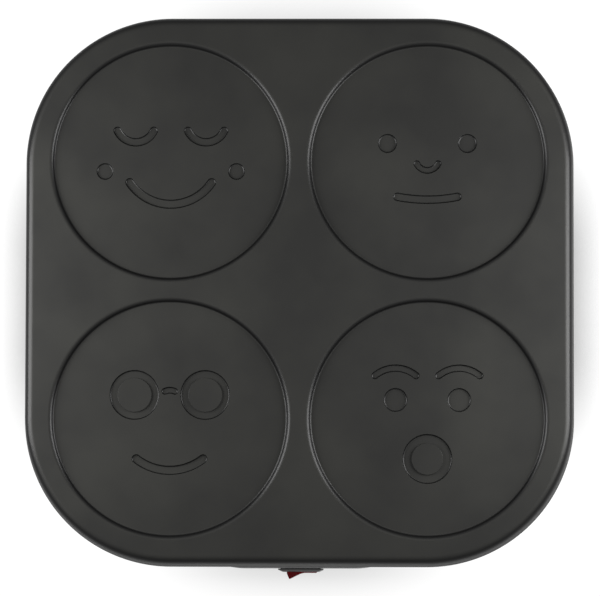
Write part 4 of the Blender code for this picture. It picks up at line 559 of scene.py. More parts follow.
finishes = {
    "coated_plate": nonStickCoat(),
    # Black ABS from a spark-eroded mould: fine matt grain that greys a little at a low angle
    "housing_plastic": soft(
        "mouldedHousing",
        ("#1d1d1e", "#202021"),
        (0.42, 0.5),
        0.6,
        0.06,
        patches=(30, 3),
        settings={"IOR": 1.5},
    ),
    # Black polypropylene: matt, a little waxier and greyer than the housing
    "cover_plastic": soft("mouldedCover", ("#1f1f20", "#242425"), (0.5, 0.6), 0.8, 0.08),
    # Black glass-filled nylon, moulded smooth: a soft gloss with faint flow marks
    "switch_plastic": soft("switchNylon", ("#121212", "#161616"), (0.26, 0.34), 2.5, 0.03, 2.0, 0.4),
    # Tinted polycarbonate, polished: deep red with a clear gloss, darker where it is thick
    "red_lens": soft(
        "redLens",
        ("#b80a14", "#cc0e18"),
        (0.1, 0.16),
        4.0,
        0.02,
        detail=1.0,
        strength=0.3,
        settings={
            "IOR": 1.4,
            "Specular IOR Level": 0.12,
            "Subsurface Weight": 0.1,
            "Subsurface Radius": (1.0, 0.12, 0.08),
            "Subsurface Scale": 1.2 * mm,
        },
    ),
    # Clear glass of a small glow lamp, a little orange from its electrodes
    "lamp_glass": soft(
        "lampGlass",
        ("#e6b48c", "#f0c8a4"),
        (0.04, 0.1),
        2.0,
        0.02,
        detail=1.0,
        strength=0.3,
        settings={"Transmission Weight": 0.7},
    ),
    # Black TPR: dull, with a powdery bloom in patches
    "rubber": soft(
        "mouldedRubber", ("#1a1a1a", "#262625"), (0.65, 0.8), 0.7, 0.1, detail=4.0, patches=(180, 5)
    ),
    # Zinc-plated steel: cool grey, fine drawn grain
    "screw_steel": metal("zincPlatedScrew", ("#a3a6aa", "#c2c4c7"), (0.26, 0.38), 0.8, 0.03),
    # Rolled zinc-plated sheet: long faint streaks
    "sheet_steel": metal("rolledSheet", ("#a9adb1", "#c6c9cc"), (0.30, 0.42), 1.2, 0.03, (1, 0.08, 1)),
    # Heated stainless sheath: brown-grey temper bloom
    "element_sheath": metal("heatedSheath", ("#57504a", "#7b736b"), (0.36, 0.48), 6.0, 0.02),
    # Unglazed steatite beads: chalky and pale
    "ceramic": soft("steatite", ("#cfc8b8", "#ddd7c9"), (0.64, 0.76), 0.6, 0.06),
    # Pressed aluminium can and stamped brass: a soft even sheen
    "thermostat_metal": metal("pressedAluminium", ("#b9bbbd", "#d0d1d2"), (0.28, 0.40), 1.5, 0.02),
    "brass": metal("stampedBrass", ("#b28f4a", "#cfae66"), (0.24, 0.36), 1.2, 0.02),
    # Natural nylon: milky, slightly waxy
    "nylon": soft("naturalNylon", ("#cdc9bd", "#d8d5ca"), (0.39, 0.51), 2.0, 0.03),
    "fuse_sleeve": braidedSleeve("fuseSleeve", "#b9b4a2", "#dcd8c8"),
    "white_sleeve": braidedSleeve("whiteSleeve", "#bdb9aa", "#e0dccf"),
    "black_sleeve": braidedSleeve("blackSleeve", "#141414", "#2b2b2b"),
    # Extruded sleeve: plain and smooth
    "earth_sleeve": soft("earthSleeve", ("#8a9a2c", "#b3bd3d"), (0.44, 0.56), 4.0, 0.03),
}

for row in frame["record"]["subparts"]:
    node = frame["nodes"][row["node"]]
    node.data.materials.clear()
    node.data.materials.append(finishes[row["material_slot"]])
print("finishes made")

# Cooking plate. Sizes in millimetres
plateSizes = {
    "cornerSteps": 40,
    "topInset": 0.5,
    "flare": 1.4,
    "edgeRound": 3.7,
    "edgeSteps": 8,
    "lipRound": 0.5,
    "lipSteps": 3,
    "wall": 2.4,
    "thickness": 5.5,
    "innerRound": 3.0,
    "innerSteps": 5,
    "seam": 0.1,  # the underside lies this far above the solid's
    "hangInset": 15.0,  # what hangs under the plate lies this far inside its edge
    "hangLap": 1.5,  # and reaches this far into it
    "wellFromMiddle": 59.0,
    "wellRadius": 54.0,
    "wellDepth": 2.2,
    "wellDraft": 0.5,
    "wellSteps": 160,
    "rimRound": 1.5,
    "rimSteps": 5,
    "footRound": 0.6,
    "footSteps": 4,
    "grooveDepth": 0.8,
    "grooveAbove": 0.4,  # how far a groove's tool stands over the well's floor
    "grooveRim": 0.22,
    "grooveRimSteps": 2,
    "grooveFoot": 0.72,
    "grooveFootSteps": 4,
    "grooveClear": 3.0,  # no groove comes this near to the well's rim
    "dotSteps": 48,
    "ringSteps": 72,
    "bandStep": 0.7,
    "bandEndSteps": 12,
}

# What is sunk in each well, in shares of the well's radius:
# dot x, y, radius; ring x, y, outer, inner; arc x, y, radius, width, from, to in degrees
wellFaces = {
    (-1, 1): (
        ("arc", -0.30, 0.34, 0.17, 0.07, 205, 335),
        ("arc", 0.30, 0.34, 0.17, 0.07, 205, 335),
        ("arc", 0.0, 0.06, 0.42, 0.075, 214, 326),
        ("dot", -0.56, -0.08, 0.07),
        ("dot", 0.56, -0.08, 0.07),
    ),
    (1, 1): (
        ("dot", -0.34, 0.16, 0.08),
        ("dot", 0.34, 0.16, 0.08),
        ("arc", 0.0, 0.03, 0.10, 0.055, 205, 335),
        ("arc", 0.0, 1.02, 1.34, 0.07, 259, 281),
    ),
    (-1, -1): (
        ("ring", -0.30, 0.20, 0.21, 0.145),
        ("ring", 0.30, 0.20, 0.21, 0.145),
        ("arc", 0.0, 0.14, 0.10, 0.055, 65, 115),
        ("arc", 0.0, 0.02, 0.46, 0.075, 232, 308),
    ),
    (1, -1): (
        ("dot", -0.27, 0.16, 0.10),
        ("dot", 0.27, 0.16, 0.10),
        ("arc", -0.27, 0.16, 0.27, 0.06, 50, 130),
        ("arc", 0.27, 0.16, 0.27, 0.06, 50, 130),
        ("ring", 0.0, -0.34, 0.21, 0.135),
    ),
}


def around(radius, start, end, steps):
    turns = [math.radians(start + (end - start) * step / steps) for step in range(steps + 1)]
    return [Vector((radius * math.cos(turn), radius * math.sin(turn))) for turn in turns]


# A round-ended band along an arc
def roundedBand(radius, width, start, end):
    length = radius * math.radians(end - start)
    steps = max(8, int(length / plateSizes["bandStep"]))
    endSteps = plateSizes["bandEndSteps"]
    outer = around(radius + width / 2, start, end, steps)
    inner = around(radius - width / 2, end, start, steps)
    far = around(radius, end, end, 1)[0]
    close = around(radius, start, start, 1)[0]
    farEnd = [far + point for point in around(width / 2, end, end + 180, endSteps)[1:-1]]
    closeEnd = [close + point for point in around(width / 2, start + 180, start + 360, endSteps)[1:-1]]
    return outer + farEnd + inner + closeEnd


# A block with the outline, from the groove's floor to just above the well's, its foot eased
def sinkTool(outline, centre, floor, top):
    placed = [(centre.x + point.x * mm, centre.y + point.y * mm) for point in outline]
    tool = addPrism("groove", placed, top, floor - top)
    chooseEdges(tool, lambda point: near(point.z, floor))
    bpy.ops.mesh.bevel(
        offset=plateSizes["grooveFoot"] * mm,
        segments=plateSizes["grooveFootSteps"],
        profile=0.4,
        affect="EDGES",
        clamp_overlap=True,
    )
    turnOutward()
    leave()
    return tool


def grooveTools(wellFloor):
    tools = []
    radius = plateSizes["wellRadius"]
    floor = wellFloor - plateSizes["grooveDepth"] * mm
    top = wellFloor + plateSizes["grooveAbove"] * mm
    for (sideX, sideY), motifs in wellFaces.items():
        middle = Vector((sideX, sideY)) * plateSizes["wellFromMiddle"] * mm
        for kind, x, y, *rest in motifs:
            centre = middle + Vector((x, y)) * radius * mm
            inner = None
            if kind == "arc":
                outline = roundedBand(rest[0] * radius, rest[1] * radius, rest[2], rest[3])
            elif kind == "dot":
                outline = around(rest[0] * radius, 0, 360, plateSizes["dotSteps"])[:-1]
            else:
                outline = around(rest[0] * radius, 0, 360, plateSizes["ringSteps"])[:-1]
                inner = around(rest[1] * radius, 0, 360, plateSizes["ringSteps"])[:-1]
            tool = sinkTool(outline, centre, floor, top)
            if inner:
                island = sinkTool(inner, centre, floor - overrun, top + overrun)
                combine(tool, island)
            tools.append(tool)
    return join(*tools)


def makePlate():
    low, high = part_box("cooking_plate")
    sizes = inMetres(plateSizes)
    half = high.x - sizes["topInset"] + sizes["flare"]
    plate = addRoundBlock("fineCookingPlate", half, low.z, high.z, plateSizes["cornerSteps"])
    shrink = 1 - sizes["flare"] / half
    under = high.z - sizes["thickness"] + sizes["seam"]
    chooseFacing(plate, 2, 1)
    bpy.ops.transform.resize(value=(shrink, shrink, 1), center_override=(0, 0, high.z))
    chooseFacing(plate, 2, -1)
    bpy.ops.mesh.inset(thickness=sizes["wall"], use_even_offset=True)
    push((0, 0, under - low.z))
    bpy.ops.transform.resize(value=(shrink, shrink, 1), center_override=(0, 0, high.z))
    for height, edge, steps in (
        (high.z, "edgeRound", "edgeSteps"),
        (under, "innerRound", "innerSteps"),
        (low.z, "lipRound", "lipSteps"),
    ):
        roundEdges(plate, lambda point: near(point.z, height), sizes[edge], plateSizes[steps])
    leave()

    # The channel for the element, the bosses and their holes hang under it
    below = copyNode("cooking_plate")
    reach = high.x - sizes["hangInset"]
    slab = addBox("slab", (-reach, -reach, low.z), (reach, reach, under + sizes["hangLap"]))
    combine(below, slab, "INTERSECT")
    combine(plate, below, "UNION")

    # The wells, their rims and feet eased
    wellFloor = high.z - sizes["wellDepth"]
    wellTop = high.z + sizes["wellDepth"]
    reach = sizes["wellFromMiddle"]
    centres = [Vector((sideX * reach, sideY * reach)) for sideX, sideY in wellFaces]
    foot, rim = sizes["wellRadius"] - sizes["wellDraft"], sizes["wellRadius"] + sizes["wellDraft"]
    over = rim + 2 * sizes["wellDraft"]
    wells = [
        addDrum("well", foot, wellFloor, wellTop, centre, plateSizes["wellSteps"], topRadius=over)
        for centre in centres
    ]
    combine(plate, join(*wells))

    def fromCentre(point):
        return min((Vector((point.x, point.y)) - centre).length for centre in centres)

    edit(plate)
    for height, radius, edge, steps in (
        (high.z, rim, "rimRound", "rimSteps"),
        (wellFloor, foot, "footRound", "footSteps"),
    ):
        roundEdges(
            plate,
            lambda point: near(point.z, height) and near(fromCentre(point), radius),
            sizes[edge],
            plateSizes[steps],
        )
    leave()

    # The faces
    combine(plate, grooveTools(wellFloor))
    edit(plate)
    inside = sizes["wellRadius"] - sizes["grooveClear"]
    roundEdges(
        plate,
        lambda point: near(point.z, wellFloor) and fromCentre(point) < inside,
        sizes["grooveRim"],
        plateSizes["grooveRimSteps"],
    )
    leave()

    finishPiece(plate, "root", "coated_plate", "cooking_plate", angle=40)


makePlate()
print("cooking plate made")

# Base housing, a moulded shell open above and below. Sizes in millimetres
housingSizes = {
    "cornerSteps": 36,
    "frontCuts": 56,
    "roundSteps": 10,
    "wall": 2.5,
    "turnInTop": 17.0,
    "turnInWidth": 10.0,
    "openingLip": 2.5,
    "shoulderTop": 51.0,
    "shoulderRound": 1.5,
    "shoulderSteps": 5,
    "ledge": 1.5,
    "upstandWall": 2.3,
    "upstandEdge": 0.4,
    "haunch": (46.0, 48.0),
    "noseBulge": 6.7,
    "noseFlat": 26.0,
    "noseReach": 58.5,
    "noseDepth": 2.0,  # the bulge moves what lies less than this behind the front
    "detailDepth": 1.2,  # details of the solid begin this deep in the wall
    "detailTopShare": 1.5,  # and this many times as deep at the shoulder
    "toolPast": 2.0,
    "toolInto": 5.0,
    "window": (0.5, 31.65, 9.7, 6.7),
    "glandHole": (24.0, 6.3),
    "glandSteps": 48,
}


# The angles of a quarter turn's steps
def quarterTurn(steps):
    return [math.radians(90) * step / steps for step in range(1, steps + 1)]


# From half and z of an end face that is selected, insets or extrudes it to each next half and z
def stepFace(start, section):
    half, height = start
    for nextHalf, nextHeight in section:
        if near(half, nextHalf):
            push((0, 0, nextHeight - height))
        else:
            bpy.ops.mesh.inset(
                thickness=half - nextHalf, depth=abs(nextHeight - height), use_even_offset=True
            )
        half, height = nextHalf, nextHeight


# A solid with the housing's side curve, inset from its outside, and the bulge in its front
def housingSolid(name, inset, shoulder, above, below):
    sizes = inMetres(housingSizes)
    low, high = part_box("base_housing")
    side = high.x - inset
    turnInTop = sizes["turnInTop"]
    bottomHalf = high.x - sizes["turnInWidth"]
    turnInHeight = turnInTop - low.z - inset
    solid = addRoundBlock(name, side, turnInTop, shoulder, housingSizes["cornerSteps"])
    mesh = bmesh.from_edit_mesh(solid.data)
    bpy.ops.mesh.select_all(action="DESELECT")
    for edge in mesh.edges:
        first, last = (vert.co for vert in edge.verts)
        edge.select = near(first.y, -side) and near(last.y, -side) and near(first.z, last.z)
    mesh.select_flush_mode()
    bpy.ops.mesh.subdivide(number_cuts=housingSizes["frontCuts"])

    chooseFacing(solid, 2, -1)
    curve = [
        (bottomHalf + (side - bottomHalf) * math.cos(turn), turnInTop - turnInHeight * math.sin(turn))
        for turn in quarterTurn(housingSizes["roundSteps"])
    ]
    stepFace((side, turnInTop), curve + below)
    chooseFacing(solid, 2, 1)
    stepFace((side, shoulder), above)
    leave()

    for vert in solid.data.vertices:
        reach = -vert.co.y
        across = abs(vert.co.x)
        share = min(1, max(0, (sizes["noseReach"] - across) / (sizes["noseReach"] - sizes["noseFlat"])))
        if vert.co.z < turnInTop:
            fade = min(1, max(0, (reach - bottomHalf) / (side - bottomHalf)))
        else:
            fade = 1 if reach > side - sizes["noseDepth"] else 0
        vert.co.y -= sizes["noseBulge"] * fade * (0.5 - 0.5 * math.cos(math.pi * share))
    return solid


def makeHousing():
    low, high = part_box("base_housing")
    sizes = inMetres(housingSizes)
    half = high.x
    opening = half - sizes["turnInWidth"] - sizes["openingLip"]
    shoulder = sizes["shoulderTop"] - sizes["shoulderRound"]
    rounded = [
        (
            half - sizes["shoulderRound"] * (1 - math.cos(turn)),
            shoulder + sizes["shoulderRound"] * math.sin(turn),
        )
        for turn in quarterTurn(housingSizes["shoulderSteps"])
    ]
    upstand = half - sizes["shoulderRound"] - sizes["ledge"]
    edge = sizes["upstandEdge"]
    ease = 0.3 * edge  # how far in the middle of the eased edge lies
    above = rounded + [
        (upstand, sizes["shoulderTop"]),
        (upstand, high.z - edge),
        (upstand - ease, high.z - ease),
        (upstand - edge, high.z),
    ]
    housing = housingSolid("fineBaseHousing", 0, shoulder, above, [])

    haunchLow, haunchHigh = (height * mm for height in housingSizes["haunch"])
    inner = upstand - sizes["upstandWall"]
    wall = sizes["wall"]
    hollow = housingSolid(
        "hollow",
        wall,
        haunchLow,
        [(inner, haunchHigh), (inner, high.z + sizes["toolPast"])],
        [(opening, low.z + wall), (opening, low.z - sizes["toolPast"])],
    )
    combine(housing, hollow)

    # Lugs, pillars, webs, shelf and pedestals stand on the inside of the wall
    details = copyNode("base_housing")
    depth = sizes["detailDepth"]
    coreTop = half - housingSizes["detailTopShare"] * depth
    core = housingSolid("core", depth, haunchLow, [(coreTop, sizes["shoulderTop"] - depth)], [])
    combine(details, core, "INTERSECT")
    combine(housing, details, "UNION")

    past, into = sizes["toolPast"], sizes["toolInto"]
    x, z, halfWidth, halfHeight = (size * mm for size in housingSizes["window"])
    window = addBox(
        "window",
        (x - halfWidth, low.y - past, z - halfHeight),
        (x + halfWidth, low.y + into, z + halfHeight),
    )
    combine(housing, window)
    height, radius = (size * mm for size in housingSizes["glandHole"])
    steps = housingSizes["glandSteps"]
    hole = addDrum("glandHole", radius, half - into, half + past, (0, height), steps, axis="Y")
    combine(housing, hole)
    finishPiece(housing, "root", "housing_plastic", "base_housing", angle=32)


makeHousing()
print("base housing made")

# Bottom cover, pressed up into the housing's opening. Sizes in millimetres
coverSizes = {
    "cornerSteps": 32,
    "thickness": 2.0,
    "edge": 0.5,
    "edgeSteps": 3,
    "edgeClear": 3.0,  # no hole or vent comes this near to the edge
    "ribInset": 2.0,
    "ribWidth": 1.6,
    "vent": (3.4, 40.0),
    "ventPitch": 9.0,
    "ventCount": 7,
    "ventRow": 34.0,
    "ventRoundShare": 0.49,
    "ventSteps": 8,
    "ventEdge": 0.3,
    "ventEdgeSteps": 2,
    "screwHole": (87.14, 1.9),
    "footHole": (72.541, 3.2),
    "holeSteps": 32,
}


# How far out a point is, as the half width of the rounded square through it
def squareReach(point):
    corner = plateSizes["wellFromMiddle"] * mm
    past = Vector((max(0, abs(point.x) - corner), max(0, abs(point.y) - corner)))
    return corner + past.length if past.x and past.y else max(abs(point.x), abs(point.y))


def makeCover():
    low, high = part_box("bottom_cover")
    sizes = inMetres(coverSizes)
    top = low.z + sizes["thickness"]
    cover = addRoundBlock("fineBottomCover", high.x, low.z, top, coverSizes["cornerSteps"])
    chooseFacing(cover, 2, 1)
    outer = high.x - sizes["ribInset"]
    inner = outer - sizes["ribWidth"]
    stepFace((high.x, top), [(outer, top), (inner, top)])
    chooseFaces(cover, lambda middle, normal: normal.z > facesAxis and inner < squareReach(middle) < outer)
    push((0, 0, high.z - top))
    roundEdges(cover, lambda point: near(point.z, low.z), sizes["edge"], coverSizes["edgeSteps"])
    leave()

    # One vent slot with round ends, copied along the two rows
    width, length = (size * mm for size in coverSizes["vent"])
    under, above = low.z - overrun, top + overrun
    slot = addBox("slot", (-width / 2, -length / 2, under), (width / 2, length / 2, above))
    roundAlong(slot, 2, coverSizes["ventRoundShare"] * width, coverSizes["ventSteps"])
    leave()
    tools = []
    for row in (-1, 1):
        for index in range(coverSizes["ventCount"]):
            x = (index - (coverSizes["ventCount"] - 1) / 2) * sizes["ventPitch"]
            tools.append(placeCopy(slot, (x, row * sizes["ventRow"], 0)))
    bpy.data.objects.remove(slot)
    for key in ("screwHole", "footHole"):
        at, radius = (size * mm for size in coverSizes[key])
        for sideX, sideY in wellFaces:
            place = (sideX * at, sideY * at)
            tools.append(addDrum("hole", radius, under, above, place, coverSizes["holeSteps"]))
    combine(cover, join(*tools))
    edit(cover)
    inside = high.x - sizes["edgeClear"]
    roundEdges(
        cover,
        lambda point: near(point.z, low.z) and squareReach(point) < inside,
        sizes["ventEdge"],
        coverSizes["ventEdgeSteps"],
    )
    leave()
    finishPiece(cover, "root", "cover_plastic", "bottom_cover")


makeCover()
print("bottom cover made")

# Rubber foot with its barbed stem. Radius and height in millimetres
footSection = [
    (0, 0),
    (7.2, 0),
    (7.65, 0.08),
    (8.0, 0.32),
    (8.2, 0.8),
    (9.12, 4.95),
    (9.02, 5.15),
    (8.8, 5.2),
    (2.8, 5.2),
    (2.8, 7.8),
    (3.8, 7.8),
    (3.74, 8.0),
    (2.9, 10.6),
    (2.6, 10.8),
    (0, 10.8),
]


def makeFeet():
    first = turnSection("foot", footSection, 48)
    for name in ("back_right", "back_left", "front_left", "front_right"):
        low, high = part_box("foot_" + name)
        foot = placeCopy(first, ((low.x + high.x) / 2, (low.y + high.y) / 2, 0))
        foot.name = "fineFoot_" + name
        finishPiece(foot, "root", "rubber", "foot_" + name)
    bpy.data.objects.remove(first)


makeFeet()

# Cord gland: a bush with a flange outside and a barb inside. Radius, and distance out along Y, in
# millimetres
glandSection = [
    (3.7, 114.7),
    (4.0, 114.4),
    (5.8, 114.4),
    (7.35, 117.2),
    (7.3, 117.4),
    (6.0, 117.4),
    (6.0, 120.6),
    (8.4, 120.6),
    (8.5, 120.75),
    (8.4, 121.5),
    (7.9, 122.2),
    (7.2, 122.6),
    (4.3, 122.6),
    (3.85, 122.4),
    (3.7, 122.0),
]


def makeGland():
    gland = turnSection("fineCordGland", glandSection, 64, axis="Y", closed=True)
    edit(gland)
    pickAll()
    bpy.ops.transform.translate(value=(0, 0, housingSizes["glandHole"][0] * mm))
    leave()
    finishPiece(gland, "root", "rubber", "cord_gland")


makeGland()
print("feet and gland made")

# Snap-in rocker switch in the bulged panel. Sizes in millimetres, half sizes across; a round's size
# comes with its steps
switchSizes = {
    "middle": (0.5, 31.65),
    "seat": -127.3,
    "rim": 0.5,
    "frame": (10.5, 7.5),
    "frameCorner": (1.3, 6),
    "face": -128.7,
    "faceShrink": (0.82, 0.84),
    "faceRound": (0.25, 3),
    "box": (9.4, 6.4),
    "boxBack": -114.0,
    "boxFloor": -115.4,
    "window": (8.0, 5.3),
    "corner": (0.8, 4),
    "pivotHole": (-126.0, 1.25),
    "holeSteps": 32,
    "slot": (0.7, 2.7),
    "slotPitch": 5.5,
    "ear": (4.0, 0.9, -124.1, -120.6),
    "lap": 0.3,  # joined blocks reach this far into each other
    "past": 1,  # and cutting ones this far past the body
}


# A block across the switch's middle, from one y to another, all in millimetres
def switchBlock(name, halfWidth, halfHeight, front, back):
    x, z = switchSizes["middle"]
    low = Vector((x - halfWidth, front, z - halfHeight)) * mm
    high = Vector((x + halfWidth, back, z + halfHeight)) * mm
    return addBox(name, low, high)


def makeSwitchBody():
    sizes = switchSizes
    x, z = (value * mm for value in sizes["middle"])
    body = switchBlock("fineSwitchBody", *sizes["frame"], sizes["seat"] - sizes["rim"], sizes["seat"])
    radius, steps = sizes["frameCorner"]
    roundAlong(body, 1, radius * mm, steps)
    chooseFacing(body, 1, -1)
    rise = sizes["face"] - sizes["seat"] + sizes["rim"]
    push((0, rise * mm, 0))
    across, along = sizes["faceShrink"]
    bpy.ops.transform.resize(value=(across, 1, along), center_override=(x, 0, z))
    radius, steps = sizes["faceRound"]
    roundEdges(body, lambda point: near(point.y, sizes["face"] * mm), radius * mm, steps)
    leave()

    cornerRadius, cornerSteps = sizes["corner"]
    lap, past = sizes["lap"], sizes["past"]
    box = switchBlock("box", *sizes["box"], sizes["seat"] - lap, sizes["boxBack"])
    roundAlong(box, 1, cornerRadius * mm, cornerSteps)
    leave()
    combine(body, box, "UNION")
    earWidth, earHeight, earFront, earBack = sizes["ear"]
    wall = sizes["box"][1] - lap
    for side in (-1, 1):
        ear = switchBlock("ear", earWidth, (earHeight + lap) / 2, earFront, earBack)
        edit(ear, "FACE")
        pickAll()
        bpy.ops.transform.translate(value=(0, 0, side * (wall + (earHeight + lap) / 2) * mm))
        tip = z + side * (wall + earHeight + lap) * mm
        chooseEdges(ear, lambda point: near(point.y, earBack * mm) and near(point.z, tip))
        bpy.ops.transform.translate(value=(0, 0, -side * earHeight * mm))
        leave()
        combine(body, ear, "UNION")

    window = switchBlock("window", *sizes["window"], sizes["face"] - past, sizes["boxFloor"])
    roundAlong(window, 1, cornerRadius * mm, cornerSteps)
    leave()
    combine(body, window)
    pivotY, radius = (value * mm for value in sizes["pivotHole"])
    reach = sizes["frame"][1] * mm
    tools = [addDrum("hole", radius, z - reach, z + reach, (x, pivotY), sizes["holeSteps"])]
    for index in (-1, 0, 1):
        slot = switchBlock("slot", *sizes["slot"], sizes["boxFloor"] - past, sizes["boxBack"] + past)
        tools.append(placeCopy(slot, (index * sizes["slotPitch"] * mm, 0, 0)))
        bpy.data.objects.remove(slot)
    combine(body, join(*tools))
    finishPiece(body, "root", "switch_plastic", "switch_body")


makeSwitchBody()

# Red rocker, seen along its pivot: how far out each point lies. Sizes in millimetres
rockerSizes = {
    "pivot": (0.5, -126.0, 31.65),
    "tilt": 13.0,
    "halfWidth": 6.6,
    "waist": (7.1, 2.0),
    "valley": 3.3,
    "valleyRound": 1.6,
    "slope": 13.0,
    "skirt": 1.0,
    "halfHeight": 5.0,
    "edge": (0.45, 4),
    "sharpFrom": 25.0,  # degrees between faces
    "topSteps": 12,
    "wall": 1.1,
    "hollowEnd": 2,
    "stem": (2.4, 4.2),
    "bore": 1.6,
    "pin": (1.0, 6.1),
    "drumSteps": 32,
}


def makeRocker():
    sizes = rockerSizes
    half, valley, soft = sizes["halfWidth"], sizes["valley"], sizes["valleyRound"]
    climb = math.tan(math.radians(sizes["slope"]))
    top = []
    topSteps = sizes["topSteps"]
    for step in range(-topSteps, topSteps + 1):
        x = half * step / topSteps
        rise = climb * (x * x / (2 * soft) + soft / 2) if abs(x) < soft else climb * abs(x)
        top.append((x, -(valley + rise)))
    waist, waistOut = sizes["waist"]
    skirt = sizes["skirt"]
    outline = top + [(waist, -waistOut), (half, skirt), (-half, skirt), (-waist, -waistOut)]

    def addSlab(name, points, halfHeight):
        flat = [(x * mm, y * mm) for x, y in points]
        slab = addPrism(name, flat, -halfHeight * mm, 2 * halfHeight * mm)
        turnOutward()
        return slab

    rocker = addSlab("fineSwitchRocker", outline, sizes["halfHeight"])
    bpy.ops.mesh.select_mode(type="EDGE")
    bpy.ops.mesh.select_all(action="DESELECT")
    mesh = bmesh.from_edit_mesh(rocker.data)
    for edge in mesh.edges:
        edge.select = edge.calc_face_angle(0) > math.radians(sizes["sharpFrom"])
    mesh.select_flush_mode()
    edgeRadius, edgeSteps = sizes["edge"]
    bevelPicked(edgeRadius * mm, edgeSteps)
    leave()

    wall = sizes["wall"]
    inner = half - wall
    rise = valley + climb * inner - wall
    end = sizes["hollowEnd"]
    outline = [(-inner, end), (inner, end), (inner, -rise), (0, wall - valley), (-inner, -rise)]
    hollow = addSlab("hollow", outline, sizes["halfHeight"] - wall)
    leave()
    combine(rocker, hollow)
    stemRadius, stemEnd = (value * mm for value in sizes["stem"])
    steps = sizes["drumSteps"]
    stem = addDrum("stem", stemRadius, (wall / 2 - valley) * mm, stemEnd, (0, 0), steps, axis="Y")
    combine(rocker, stem, "UNION")
    pinRadius, pinReach = (value * mm for value in sizes["pin"])
    for side in (-1, 1):
        ends = sorted((side * (sizes["halfHeight"] - wall / 2) * mm, side * pinReach))
        combine(rocker, addDrum("pin", pinRadius, *ends, (0, 0), steps), "UNION")
    boreFloor = (2 * wall - valley) * mm
    bore = addDrum("bore", sizes["bore"] * mm, boreFloor, stemEnd + overrun, (0, 0), steps, axis="Y")
    combine(rocker, bore)
    pickOnly(rocker)
    rocker.rotation_euler = (0, 0, math.radians(sizes["tilt"]))
    rocker.location = Vector(sizes["pivot"]) * mm
    applyPlace()
    finishPiece(rocker, "rocker", "red_lens", "switch_rocker", angle=28)


makeRocker()
print("rocker switch made")

# Pan-head screws, each modelled once for its size. Head, root, tip radius and recess are shares of the
# shank's radius, the crown's numbers of the head's radius and height, the thread's steps of its pitch.
# The other lengths are millimetres
screwSizes = {
    "head": 1.9,
    "headHeight": 1.1,
    "crown": ((0, -1), (0.35, -0.99), (0.68, -0.88), (0.9, -0.6), (0.98, -0.3), (1, -0.06), (0.97, 0)),
    "root": 0.84,
    "pitch": 0.9,
    "threadSteps": (0.35, 0.6, 0.7),
    "neck": 0.6,
    "threadFrom": 0.8,
    "threadFree": 1.5,
    "tip": 0.6,
    "tipRadius": 0.5,
    "turnSteps": 24,
    "recess": (0.34, 1.25, 0.75),
    "recessTaper": (0.5, 0.6),
    "turnEach": 17,  # degrees from one screw to the next
}


# A screw along Z with its head below the origin and its tip at length
def modelScrew(radius, length):
    sizes = screwSizes
    head, height = sizes["head"] * radius, sizes["headHeight"] * radius
    section = [(across * head, up * height) for across, up in sizes["crown"]]
    section += [(radius, 0), (radius, sizes["neck"])]
    root, pitch = sizes["root"] * radius, sizes["pitch"]
    rootEnd, crestStart, crestEnd = (share * pitch for share in sizes["threadSteps"])
    for turn in range(int((length - sizes["threadFree"]) / pitch)):
        base = sizes["threadFrom"] + turn * pitch
        section += [(root, base), (root, base + rootEnd)]
        section += [(radius, base + crestStart), (radius, base + crestEnd)]
    section += [(root, length - sizes["tip"]), (sizes["tipRadius"] * radius, length), (0, length)]
    screw = turnSection("screw", section, sizes["turnSteps"])
    width, reach, depth = (share * radius * mm for share in sizes["recess"])
    floor = -height * mm + depth
    arm = addBox("arm", (-reach, -width / 2, -2 * height * mm), (reach, width / 2, floor))
    edit(arm, "FACE")
    chooseFacing(arm, 2, 1)
    bpy.ops.transform.resize(value=(*sizes["recessTaper"], 1), center_override=(0, 0, floor))
    leave()
    other = placeCopy(arm, (0, 0, 0))
    other.rotation_euler = (0, 0, math.radians(90))
    applyPlace()
    combine(screw, arm)
    combine(screw, other)
    return screw


def makeScrews():
    models = {}
    names = [name for name in sorted(frame["nodes"]) if "screw" in name]
    for name in names:
        low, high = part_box(name)
        onTop = name.startswith(("clamp", "block"))
        radius = round((high.x - low.x) / 2 / screwSizes["head"] / mm, 2)
        length = round((high.z - low.z) / mm - screwSizes["headHeight"] * radius, 1)
        if (radius, length) not in models:
            models[radius, length] = modelScrew(radius, length)
        height = screwSizes["headHeight"] * radius * mm
        middle = (low + high) / 2
        screw = placeCopy(models[radius, length], (0, 0, 0))
        screw.name = "fine_" + name
        turn = math.radians(screwSizes["turnEach"] * names.index(name))
        screw.rotation_euler = (math.radians(180) if onTop else 0, 0, turn)
        screw.location = (middle.x, middle.y, high.z - height if onTop else low.z + height)
        applyPlace()
        finishPiece(screw, "root", "screw_steel", name, weighted=False)
    for model in models.values():
        bpy.data.objects.remove(model)


makeScrews()
print("screws made")

# Studio: a white sheet to stand on and two soft boxes, left and right of the plate. Metres, levels and
# watts. The sheet glows white, but for a painted soft shadow round the housing: its glow is dimmed where
# the sheet is closed in, by a weight set by place, so the shadow's depth differs from side to side. The
# shades say how deep it is, the spans where along the sheet's axes one gives way to another. The sheet's
# paper also takes the lamps' real shadows
studio = {
    "sheetColour": "#505050",
    "sheetSize": 12,
    "sheetDrop": 0.0005,
    "shadeReach": 0.032,
    "shadeSamples": 16,
    "frontShade": 0.55,
    "frontEndShade": 0.1,
    "frontSpan": {"From Min": -0.130, "From Max": -0.146},
    "backShade": 0.9,
    "backSpan": {"From Min": 0.09, "From Max": 0.125},
    "sideShade": 1.8,
    "sideSpan": {"From Min": 0.10, "From Max": 0.125},
    "alongSpan": {"From Min": 0.02, "From Max": 0.094},
    "cornerMiddle": 0.059,
    "underSpan": {"From Min": 0.060, "From Max": 0.068},
    "worldLevel": 0.134,
    "lampAim": 0.05,
}

